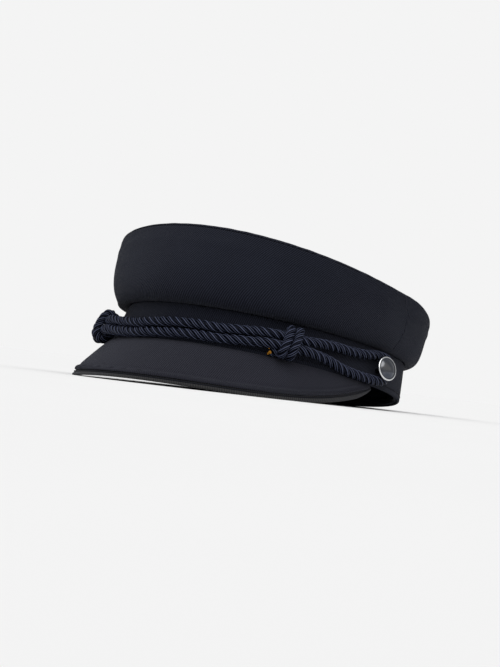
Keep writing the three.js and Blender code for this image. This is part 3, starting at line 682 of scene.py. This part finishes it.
# Peak. Two layers of twill bagged out over a stiffener: the upper one ends in a ribbed edge,
# and the lower one's lip shows beyond the seam. They close under the band at both ends.
PEAK_HALF_ANGLE = 86.7
PEAK_REACH = 28.8
PEAK_REACH_FALL = {"square": -1.184, "fourth": 0.528}
PEAK_DROP = 25.0
PEAK_DROP_FALL = {"square": 0.2, "fourth": -0.868}
PEAK_LONG = 29.0
PEAK_SEAM = 0.9
PEAK_TUCK = 0.2
PEAK_UNDER_BAND = 1.0
PEAK_END = 0.985
PEAK_THIN = {"least": 0.3, "rate": 2.2, "narrow": 0.17}
PEAK_CURVE = 1.12
PEAK_UPPER_THICK = 1.5
PEAK_UNDER_THICK = 1.2
PEAK_NECK = 0.5
PEAK_NECK_REACH = 0.15
LIP = {"more": 0.3, "wide": 1.6}
GROOVE = {"drop": 0.35, "wide": 0.09}
RIBS = {"high": 0.18, "pitch": 1.15, "at": 2.0, "wide": 1.5}
RIDGE = {"high": 0.45, "at": 1.8, "wide": 1.5}
DIP = {"deep": 0.3, "at": 4.4, "wide": 0.8}
RIM_FADE = 14.0
# The peak's twill is paler all over than the crown's: painted light where the peak faces up. On
# its ridges the paler colour is partly wear and partly painted light.
PEAK_DARK = (0.0068, 0.0072, 0.0118, 1.0)
PEAK_WORN_AND_LIT = (0.0240, 0.0246, 0.0350, 1.0)
# The underside's twill is a paler, neutral grey: painted light bounced up from below.
UNDER_DARK = (0.014, 0.014, 0.015, 1.0)
UNDER_WORN_AND_LIT = (0.038, 0.037, 0.037, 1.0)


def peak_share(along):
    """How far round the peak a place lies, as a share of its half, the half circle's height
    there, and the part of its thickness that the peak keeps: all but near its thin ends."""
    share = PEAK_END * np.sin(np.pi * (along - 0.5))
    narrow = np.sqrt(1 - share**2)
    keep = PEAK_THIN["least"] + PEAK_THIN["rate"] * (narrow - PEAK_THIN["narrow"])
    return share, narrow, np.clip(keep, 0, 1)


def fall_off(share, square, fourth):
    """One in the peak's middle, and towards its ends a polynomial of the share."""
    return 1 + square * share**2 + fourth * share**4


def peak_at(along, across, walls=0.0, gaps=0.0, beyond=0.0):
    """The peak's face: its reach and drop fall from its middle to its ends as a half circle
    times a polynomial, and it curves down from the band by a power of the way out."""
    share, narrow, keep = peak_share(along)
    angle = np.radians(PEAK_HALF_ANGLE) * share
    reach = PEAK_REACH * narrow * fall_off(share, **PEAK_REACH_FALL)
    drop = PEAK_DROP * narrow * fall_off(share, **PEAK_DROP_FALL)
    out = 1 - across + beyond * keep / reach
    point = band_at(angle, 0.0)
    square = unit(point * np.array([1 / HEAD_WIDE**2, 1 / HEAD_LONG**2, 0.0]))
    push = CLEARANCE - PEAK_UNDER_BAND * (1 - keep) + reach * out
    point = point + square * push[..., None]
    seam = PEAK_SEAM * narrow - PEAK_TUCK * (1 - narrow)
    edge = -drop - PEAK_TUCK * (1 - narrow) * narrow
    neck = PEAK_NECK + (1 - PEAK_NECK) * np.minimum(1, out / PEAK_NECK_REACH)
    down = (walls * neck + gaps) * keep
    point[..., 2] = seam + (edge - seam) * out.clip(0) ** PEAK_CURVE - down
    return point


def peak_layer(name, upper, thick, lip, material, node):
    """One layer of the peak as a closed wall, its outer edge moved on by a lip. The upper
    layer rises along it in a ribbed ridge with a dip behind, and the under one drops into
    the seam's groove there and is thicker."""
    walls, gaps = (0.0, 0.0) if upper else (PEAK_UPPER_THICK, CLEARANCE)
    even = np.linspace(0, 1, 1101)
    along = (1 - np.cos(np.pi * even)) / 2 * 0.35 + even * 0.65
    a, w = np.meshgrid(along, spaced(PEAK_LONG, 34, thick / 2), indexing="ij")
    near_rim = hill(w, 0, GROOVE["wide"])
    gaps = gaps if upper else gaps + GROOVE["drop"] * near_rim
    face = peak_at(a, w, walls, gaps, lip * near_rim)
    thick = thick * peak_share(a)[2]
    far = np.linalg.norm(face - face[:, :1], axis=-1)
    rim = distance(peak_at(along, 0 * along))[:, None]
    fade = np.minimum(1, np.minimum(rim, rim[-1] - rim) / RIM_FADE)
    if upper:
        ribs = RIBS["high"] * np.sin(2 * np.pi * rim / RIBS["pitch"])
        roll = RIDGE["high"] * hill(far, RIDGE["at"], RIDGE["wide"])
        roll -= DIP["deep"] * hill(far, DIP["at"], DIP["wide"])
        raised = ribs * hill(far, RIBS["at"], RIBS["wide"], 4)
        raised = (raised + roll * np.minimum(1, far / DIP["wide"])) * fade
        face = face + square_out(face, False) * raised[..., None]
    else:
        thick = thick + LIP["more"] * fade * hill(far, 0, LIP["wide"], 4)
    sew_wall(name, face, thick, False, material, "cap_cloth", [node])


PEAK_TWILL = twill_finish("peak twill", PEAK_DARK, PEAK_WORN_AND_LIT, 1.2, 92.0, 0.07)
UNDER_TWILL = twill_finish("peak underside twill", UNDER_DARK, UNDER_WORN_AND_LIT, 1.2, 120.0, 0.10)
peak_layer("peak_top_layer", True, PEAK_UPPER_THICK - CLEARANCE, -0.6, PEAK_TWILL, "peak_upper")
peak_layer("peak_under_layer", False, PEAK_UNDER_THICK, 0.4, UNDER_TWILL, "peak_under")


# Edge seam. The doubled thread that closes the peak's two layers, sunk in the groove between
# the ribbed edge above and the lip below.
EDGE_SEAM_WIDE = 0.8
EDGE_SEAM_IN = 0.95
EDGE_SEAM_END = 0.02
# Partly painted shade: besides being the seam's thread, the dark tube stands in for the shade
# deep in the groove.
along = np.linspace(EDGE_SEAM_END, 1 - EDGE_SEAM_END, 601)
line = peak_at(along, 0 * along, PEAK_UPPER_THICK, CLEARANCE, -EDGE_SEAM_IN)
ahead = unit(np.gradient(line, axis=0))
over = unit(np.cross(ahead, UP))
turn = np.linspace(0, 2 * np.pi, 9)
near_end = np.minimum(along, 1 - along) - EDGE_SEAM_END
wide = EDGE_SEAM_WIDE / 2 * np.clip(near_end / EDGE_SEAM_END, 0, 1)
tube = line + round_line(over, np.cross(over, ahead), turn) * wide[:, None]
place = together(distance(line) * MM, turn[:, None])
make_piece("peak_edge_seam", [tube[::-1]], [place[::-1]], THREAD, "cap_cloth")


# Seam tape. A strip of twill tape laid over the raw edge where the peak meets the sweatband,
# and sewn down along both its edges.
TAPE_WIDE = 10.0
TAPE_THICK = 0.9
TAPE_MOST = 0.6
TAPE_END = 3 / 34
TAPE_BARE = 20
# The tape's paler colour on its ridges is partly wear and partly painted light.
TAPE_DARK = (0.016, 0.016, 0.018, 1.0)
TAPE_WORN_AND_LIT = (0.038, 0.038, 0.041, 1.0)
along = np.linspace(TAPE_END, 1 - TAPE_END, 241)
out = spaced(TAPE_WIDE, 14, TAPE_THICK / 2)[::-1]
length = np.linalg.norm(peak_at(along, 0 * along) - peak_at(along, 0 * along + 1), axis=-1)
width = np.minimum(TAPE_MOST, TAPE_WIDE / length)
a = np.broadcast_to(along[:, None], (len(along), len(out)))
tape_under = PEAK_UPPER_THICK + PEAK_UNDER_THICK
face = peak_at(a, 1 - width[:, None] * out, tape_under, 2 * CLEARANCE)
TAPE_TWILL = twill_finish("tape twill", TAPE_DARK, TAPE_WORN_AND_LIT, 1.0, 60.0, 0.1)
sew_wall("peak_tape", face, TAPE_THICK, False, TAPE_TWILL, "cap_cloth", ["peak_seam_tape"])
sewn = slice(TAPE_BARE, -TAPE_BARE)
for name, share in (("tape_stitches_outer", 0.86), ("tape_stitches_inner", 0.16)):
    line = peak_at(along[sewn], 1 - width[sewn] * share, tape_under + TAPE_THICK, 2 * CLEARANCE)
    sew_stitches(name, line, np.cumsum(np.broadcast_to(-UP, line.shape), axis=0))


# Cord. One length of shiny three-ply navy cord, hooked round the shanks of both buttons so
# that it lies doubled along the band. Its two ends meet inside the knot at the wearer's left.
CORD_THICK = 5.7
KNOT_THICK = 5.2
KNOT_PRESS = 0.9
CORD_LAY = 14.0
PLY_SHARE = 0.232
PLY_YARNS = 6
PLY_STEPS = 20
YARN_TURNS = 2.2
YARN_HIGH = 0.09
FRAY_LONG = 2.0
END_ROUND = np.array([1.0, 0.9, 0.65, 0.35])
BUTTON_AT = 87.0
BUTTON_UP = 9.8
HOOK_RISE = 1.4
CORD_OFF = CORD_THICK / 2 + CLEARANCE
KNOT_REACH = (CORD_THICK + KNOT_THICK) / 2 - KNOT_PRESS
KNOT_OFF = KNOT_THICK / 2 + KNOT_REACH - CLEARANCE
KNOT_BESIDE = (-6.5, -2, 2, 6.5)
STRAND_HALF = (CORD_THICK + CLEARANCE) / 2
# The cord runs from painted shade between its plies and yarns to painted highlights on their
# crests.
CORD_DARK = (0.0005, 0.0009, 0.0032, 1.0)
CORD_PAINTED_HIGHLIGHT = (0.086, 0.099, 0.160, 1.0)
WAX_AMBER = (0.38, 0.17, 0.02, 1.0)
KNOTS = {"left": (45.8, 10.8), "right": (-45.5, 8.6)}
CORD_ROUTE = table("angle upper lower off", (
    (-84, 0.8, 0.15, 0),
    (-77, 0.72, 0.12, 0),
    (-70, 0.67, 0.13, 0.05),
    (-62, 0.62, 0.2, 0.25),
    (-30, 0.44, 0.17, 0.3),
    (-17, 0.39, 0.13, 0.06),
    (-6, 0.45, 0.175, 0),
    (8, 0.5, 0.22, 0),
    (22, 0.5, 0.23, 0.06),
    (33, 0.57, 0.3, 0.35),
    (60, 0.66, 0.28, 0.45),
    (69, 0.67, 0.15, 0.1),
    (76, 0.71, 0.12, 0),
    (83, 0.8, 0.13, 0),
))
HOOK = ((1, -1.32), (3.6, -0.95), (4.6, 0), (3.6, 0.95), (1, 1.32))


def strand(column):
    """One strand from the wearer's right to the left: angle, height and distance off the
    band of each point, with four points straight through each knot."""
    rows = [(row["angle"], row[column] * BAND_TALL, CORD_OFF + row["off"] * (KNOT_OFF - CORD_OFF))
            for row in CORD_ROUTE]
    side = STRAND_HALF if column == "upper" else -STRAND_HALF
    rows += [(angle + step, height + side, KNOT_OFF)
             for angle, height in KNOTS.values() for step in KNOT_BESIDE]
    return sorted(rows)


def cord_route():
    """The whole loop, from the left knot's lower strand round the left button, back along the
    top, round the right button and along the bottom to the same knot."""
    lower, upper = strand("lower"), strand("upper")
    join = next(i for i, row in enumerate(lower) if row[0] > KNOTS["left"][0])
    middle = BUTTON_UP + HOOK_RISE
    left, right = ([(side * (BUTTON_AT + past), middle + up * CORD_THICK, CORD_OFF)
                    for past, up in HOOK] for side in (1, -1))
    route = lower[join:] + left + upper[::-1] + right[::-1] + lower[: join + 1]
    route = np.array(route, float)
    part = np.degrees(CLEARANCE / HEAD_WIDE)
    route[0, 0] += part
    route[-1, 0] -= part
    return route


def through(points, samples=14):
    """A centripetal Catmull-Rom curve through points: each stretch blends straight lines
    between its four nearest points, timed by the square root of their distances."""
    p = np.concatenate([2 * points[:1] - points[1:2], points, 2 * points[-1:] - points[-2:-1]])
    step = np.sqrt(np.linalg.norm(np.diff(p, axis=0), axis=-1))
    knot = np.concatenate([[0.0], np.cumsum(step)])
    t0, t1, t2, t3 = (knot[i : len(knot) - 3 + i, None, None] for i in range(4))
    p0, p1, p2, p3 = (p[i : len(p) - 3 + i, None] for i in range(4))
    t = t1 + (t2 - t1) * np.linspace(0, 1, samples, endpoint=False)[None, :, None]

    def between(a, b, ta, tb):
        """A straight blend from a to b over the times ta to tb."""
        return a + (b - a) * (t - ta) / (tb - ta)

    a, b, c = between(p0, p1, t0, t1), between(p1, p2, t1, t2), between(p2, p3, t2, t3)
    curve = between(between(a, b, t0, t2), between(b, c, t1, t3), t1, t2)
    return np.concatenate([curve.reshape(-1, 3), points[-1:]])


def on_band(route):
    """Points of angle, height and distance off the band, put on the band."""
    return band_at(np.radians(route[:, 0]), route[:, 1], route[:, 2])


def cord_finish(name, cut=0.0):
    """Shiny yarn: fine ridges that run along each ply on a slight slant, with painted highlights
    on their crests and painted shade between them. Each ply is painted paler on its outer side
    and nearly black where the plies meet, as painted shade. Where the cord is cut, its waxed
    ends are amber."""
    material, tree, shader = new_finish(name, 0.30, 0.04)
    along, round_ply = both_ways(tree, cloth_map(tree))
    fibre = noise(tree, cloth_map(tree), 900.0)
    slant = maths(tree, "MULTIPLY", along, 2 * np.pi * YARN_TURNS / (CORD_LAY * MM))
    yarn = maths(tree, "MULTIPLY_ADD", round_ply, 2 * np.pi * PLY_YARNS, slant)
    yarn = maths(tree, "SINE", yarn)
    share = maths(tree, "MULTIPLY_ADD", yarn, 0.80, maths(tree, "MULTIPLY", fibre, 0.30))
    # Painted light: each ply paler on its outer side, and nearly black where the plies meet as
    # painted shade.
    outer_side_light = maths(tree, "COSINE", maths(tree, "MULTIPLY", round_ply, 2 * np.pi))
    outer_side_light = maths(tree, "MAXIMUM", outer_side_light, 0.03)
    share = maths(tree, "MULTIPLY", maths(tree, "MAXIMUM", share, 0.0), outer_side_light)
    share.node.use_clamp = True
    colour = blend_colours(tree, share, CORD_DARK, CORD_PAINTED_HIGHLIGHT)
    if cut:
        rough_cut = maths(tree, "MULTIPLY_ADD", fibre, cut, along)
        waxed = maths(tree, "LESS_THAN", rough_cut, 1.3 * cut)
        colour = blend_colours(tree, waxed, colour, WAX_AMBER)
    tree.links.new(colour, shader.inputs["Base Color"])
    height = maths(tree, "MULTIPLY_ADD", fibre, 0.5, yarn)
    raise_surface(tree, shader, height, 0.6, 0.00018)
    return material


def twist_cord(name, path, face_out, thick, lay, material, nodes, fray=0.0):
    """Three plies wound about a line by the right hand: each ply's middle goes round the line
    once in a lay, and each ply is a tube of its own, rounded off at both ends. A frayed cord's
    plies stand apart and thin at its start."""
    total = distance(path)[-1]
    far = np.linspace(0, total, int(total / lay * PLY_STEPS) + 1)
    middle = walk(path, far)
    ahead = unit(np.gradient(middle, axis=0))
    out = square_to(walk(face_out, far, distance(path)), ahead)
    aside = np.cross(ahead, out)
    ply = thick * PLY_SHARE
    apart = (thick / 2 - ply) * (1 + fray * np.exp(-far / FRAY_LONG))
    thin = 1 - fray * hill(far, 0, FRAY_LONG)
    caps = len(END_ROUND)
    cap_round = np.sqrt(1 - END_ROUND**2)
    cap_out = ply * END_ROUND[:, None]
    long = np.pad(far, caps, "edge")
    round_ply = np.linspace(0, 2 * np.pi, PLY_STEPS + 1)
    yarns = PLY_YARNS * round_ply[:, None] + 2 * np.pi * YARN_TURNS * long / CORD_LAY
    swell = np.concatenate([cap_round * thin[0], thin, cap_round[::-1]])
    radius = ply * swell * (1 + YARN_HIGH * np.sin(yarns))
    grids = []
    for number in range(3):
        turn = 2 * np.pi * (far / lay + number / 3)
        radial = out * np.cos(turn)[:, None] + aside * np.sin(turn)[:, None]
        core = middle + radial * apart[:, None]
        forward = unit(np.gradient(core, axis=0))
        radial = square_to(radial, forward)
        start = core[:1] - cap_out * forward[:1] * thin[0]
        core = np.concatenate([start, core, core[-1:] + cap_out[::-1] * forward[-1:]])
        radial, side = (np.pad(way, ((caps, caps), (0, 0)), "edge")
                        for way in (radial, np.cross(forward, radial)))
        grids.append(core + round_line(radial, side, round_ply) * radius[..., None])
    place = together(long * MM, round_ply[:, None] / (2 * np.pi))
    make_piece(name, grids, [place] * 3, material, "cord_yarn", nodes)


CORD_YARN = cord_finish("navy cord")
loop = through(cord_route())
loop_out = outward(np.radians(loop[:, 0]))
twist_cord("cord", on_band(loop), loop_out, CORD_THICK, CORD_LAY, CORD_YARN, ["cord_loop"])


# Wrap knots. A short length of the same cord wound twice round both strands and pulled tight
# at each side of the front, with the waxed cut end left sticking out below.
KNOT_TAIL = (-7.0, -1, -0.85, -0.75)
KNOT_TURN = table("along strand up out", (
    (0, -1, -0.83, -0.71),
    (0, -1, -1.25, 0),
    (0.08, -1, -0.83, 0.71),
    (0.25, 0, 0, 1),
    (0.42, 1, 0.71, 0.71),
    (0.5, 1, 1, 0),
    (0.6, 1, 0.71, -0.71),
    (0.8, 0, 0, -1),
))
KNOT_MIDDLE = 0.75
KNOT_LAY = 0.8
KNOT_FRAY = 0.42
CUT_LONG = 0.0007
BAND_LEAN = HEAD_WIDE - BAND_TOP["wide"]
FACE_LEAN = np.arctan(BAND_LEAN / BAND_TALL)


def knot_route(angle, height):
    """The knot's line: its tail's end, which is in millimetres along, and two turns round both
    strands, slanted across the front and counted along in pitches. Points go along the
    strands, up the band's face and square out from it."""
    degree = np.radians(1) * (HEAD_LONG + KNOT_OFF - BAND_LEAN)
    pitch = KNOT_THICK + CLEARANCE
    rows = [((turn + row["along"]) * pitch, row["strand"], row["up"], row["out"])
            for turn, steps in enumerate((KNOT_TURN, KNOT_TURN[:-2])) for row in steps]
    along, side, up, out = np.array([KNOT_TAIL, *rows], float).T
    up = side * STRAND_HALF + up * KNOT_REACH
    out = out * KNOT_REACH
    return together(
        angle + (along - KNOT_MIDDLE * pitch) / degree,
        height + up * np.cos(FACE_LEAN) + out * np.sin(FACE_LEAN),
        KNOT_OFF + out / np.cos(FACE_LEAN),
    )


KNOT_YARN = cord_finish("navy cord with cut end", CUT_LONG)
for side, (angle, height) in KNOTS.items():
    route = through(knot_route(angle, height))
    sideways = outward(np.radians(route[:, 0] + 90))
    twist_cord(f"wrap_knot_{side}", on_band(route), sideways, KNOT_THICK, CORD_LAY * KNOT_LAY,
               KNOT_YARN, [f"knot_{side}"], fray=KNOT_FRAY)


# Buttons. Two pressed buttons of silver-coloured metal with a turned rim and a shallow plain
# dome, each on a shank that passes through the cord's hook into the band.
BUTTON_WIDE = 14.6
BUTTON_RIM = 1.3
BUTTON_DOME = 1.7
BUTTON_LEAN = 14.0
BUTTON_STEP = 0.25
RIM_STEP = 0.15
DOME_MORE = 0.2
SHANK_WIDE = 3.0
SHANK_FROM = 0.6
RIM_SHINES = (0.95, 0.55)
# The button face's colours are painted reflections, dark bluish and pale grey in clouds, muted by
# a mid grey; the rim keeps the bright silver.
FACE_DARK = (0.050, 0.060, 0.085, 1.0)
FACE_PALE = (0.200, 0.200, 0.205, 1.0)
FACE_MUTED_REFLECTION = (0.110, 0.115, 0.125, 1.0)
RIM_SILVER = (0.80, 0.81, 0.82, 1.0)


def smooth_share(tree, value, low, high):
    """A share that goes smoothly from none to all as a value rises from low to high."""
    node = tree.nodes.new("ShaderNodeMapRange")
    node.interpolation_type = "SMOOTHSTEP"
    node.inputs[1].default_value = low
    node.inputs[2].default_value = high
    tree.links.new(value, node.inputs[0])
    return node.outputs[0]


def metal_finish():
    """Silver-coloured plate: a bright silver rim round a face painted darker, with cloudy painted
    reflections on it, and very fine scratches."""
    material, tree, shader = new_finish("silver plate", 0.18, 0.5, metallic=1.0)
    place = tree.nodes.new("ShaderNodeTexCoord").outputs["Object"]
    painted_reflections = smooth_share(tree, noise(tree, place, 130.0, 1.5), 0.38, 0.62)
    face = blend_colours(tree, painted_reflections, FACE_DARK, FACE_PALE)
    face = blend_colours(tree, noise(tree, place, 180.0, 5.0), face, FACE_MUTED_REFLECTION)
    low, high = ((BUTTON_WIDE / 2 - inside) * MM for inside in RIM_SHINES)
    rim = smooth_share(tree, both_ways(tree, cloth_map(tree))[1], low, high)
    colour_surface(tree, shader, rim, face, RIM_SILVER)
    rough = maths(tree, "MULTIPLY_ADD", noise(tree, place, 900.0, 3.0), 0.18, 0.08)
    tree.links.new(rough, shader.inputs["Roughness"])
    return material


SILVER = metal_finish()


def turn_button(name, side):
    """A button turned about its own axis from a profile of radius and height: flat end and
    side of the shank, flat back, rounded rim, the groove inside it and the dome."""
    radius, shank, rim = BUTTON_WIDE / 2, SHANK_WIDE / 2, BUTTON_RIM / 2
    lean = np.radians(BUTTON_LEAN)
    back = CORD_THICK + 3 * CLEARANCE + radius * np.sin(lean)
    front = back + BUTTON_RIM
    bend = np.linspace(-np.pi / 2, np.pi / 2, 11)
    inner = radius - BUTTON_RIM
    share = np.linspace(1, 0, 22)
    dome = front - BUTTON_STEP + (BUTTON_DOME + DOME_MORE) * (1 - share**2)
    rim_out, rim_up = radius - rim + rim * np.cos(bend), back + rim + rim * np.sin(bend)
    out = np.concatenate([[0, shank, shank], rim_out, [inner + BUTTON_STEP], inner * share])
    high = np.concatenate([[SHANK_FROM, SHANK_FROM, back], rim_up, [front - RIM_STEP], dome])
    angle = np.radians(side * BUTTON_AT)
    axis = outward(angle - side * lean) * np.cos(FACE_LEAN) + UP * np.sin(FACE_LEAN)
    first = unit(np.cross(axis, UP))
    turn = np.linspace(0, 2 * np.pi, 65)
    ring = round_line(first, np.cross(axis, first), turn)
    foot = band_at(angle, BUTTON_UP)
    grid = foot + ring[:, None] * out[:, None] + axis * high[:, None]
    place = together(turn[:, None], out) * MM
    make_piece(f"side_{name}", [grid], [place], SILVER, "button_metal", [name])


turn_button("button_left", 1)
turn_button("button_right", -1)


# Floor, light and camera. A wide pale floor under an even pale surround, a broad soft lamp
# high behind the camera with a faint one to its left, and a long lens just above the floor.
FLOOR_HALF = 30.0
FLOOR_DARK = (0.84, 0.84, 0.84, 1.0)
FLOOR_PALE = (0.86, 0.86, 0.86, 1.0)
BACKDROP_TONE = 0.905
SKY_TONE = 0.5
CAMERA_AWAY = 1.7564
CAMERA_UP = 0.012
CAMERA_AIM_UP = 0.046
CAMERA_ROUND = np.radians(32.08)
CAMERA_ROLL = np.radians(6.61)
CAMERA_LENS = 156.9
CAMERA_SHIFT = (-0.0048, -0.0225)


def floor_finish():
    """Matt pale paper with a faint mottling."""
    material, tree, shader = new_finish("pale paper", 0.95, 0.0)
    place = tree.nodes.new("ShaderNodeTexCoord").outputs["Object"]
    colour_surface(tree, shader, noise(tree, place, 3.0), FLOOR_DARK, FLOOR_PALE)
    return material


floor_mesh = bpy.data.meshes.new("floor")
corners = [(x * FLOOR_HALF, y * FLOOR_HALF, 0) for x, y in ((-1, -1), (1, -1), (1, 1), (-1, 1))]
floor_mesh.from_pydata(corners, [], [(0, 1, 2, 3)])
floor_mesh.materials.append(floor_finish())
floor = put_in_scene("floor", floor_mesh)

scene = bpy.context.scene
world = scene.world or bpy.data.worlds.new("studio")
scene.world = world
world.use_nodes = True
surround = world.node_tree.nodes["Background"]
seen = world.node_tree.nodes.new("ShaderNodeLightPath").outputs["Is Camera Ray"]
tone = maths(world.node_tree, "MULTIPLY_ADD", seen, BACKDROP_TONE - SKY_TONE, SKY_TONE)
world.node_tree.links.new(tone, surround.inputs["Strength"])
surround.inputs["Color"].default_value = (1.0, 1.0, 1.0, 1.0)
scene.view_settings.view_transform = "Standard"


def put_facing(name, data, place, right, back):
    """A lamp or camera at a place, turned so that its back and its right side lie along two
    directions."""
    holder = put_in_scene(name, data)
    turned = np.stack([right, np.cross(back, right), back], 1)
    holder.matrix_world = Matrix.Translation(place) @ Matrix(turned.tolist()).to_4x4()
    return holder


def soft_lamp(name, place, broad, power):
    """A broad distant lamp that shines from a place towards the middle of the floor, so that
    the whole floor is lit evenly."""
    lamp = bpy.data.lights.new(name, "SUN")
    lamp.angle = np.radians(broad)
    lamp.energy = power
    back = unit(np.array(place))
    put_facing(name, lamp, place, unit(np.cross(UP, back)), back)


soft_lamp("front lamp", (0.52, -0.83, 1.5), 70.0, 1.99)
soft_lamp("left lamp", (-0.75, -0.65, 1.8), 80.0, 0.10)

aim = UP * CAMERA_AIM_UP
level = np.sqrt(CAMERA_AWAY**2 - (CAMERA_AIM_UP - CAMERA_UP) ** 2)
eye = level * outward(CAMERA_ROUND) + UP * CAMERA_UP
back = unit(eye - aim)
right = outward(CAMERA_ROUND + np.pi / 2)
right = right * np.cos(CAMERA_ROLL) + np.cross(back, right) * np.sin(CAMERA_ROLL)
lens = bpy.data.cameras.new("camera")
lens.lens = CAMERA_LENS
lens.sensor_width = 36.0
lens.shift_x, lens.shift_y = CAMERA_SHIFT
lens.clip_start = 0.01
scene.camera = put_facing("camera", lens, eye.tolist(), right, back)
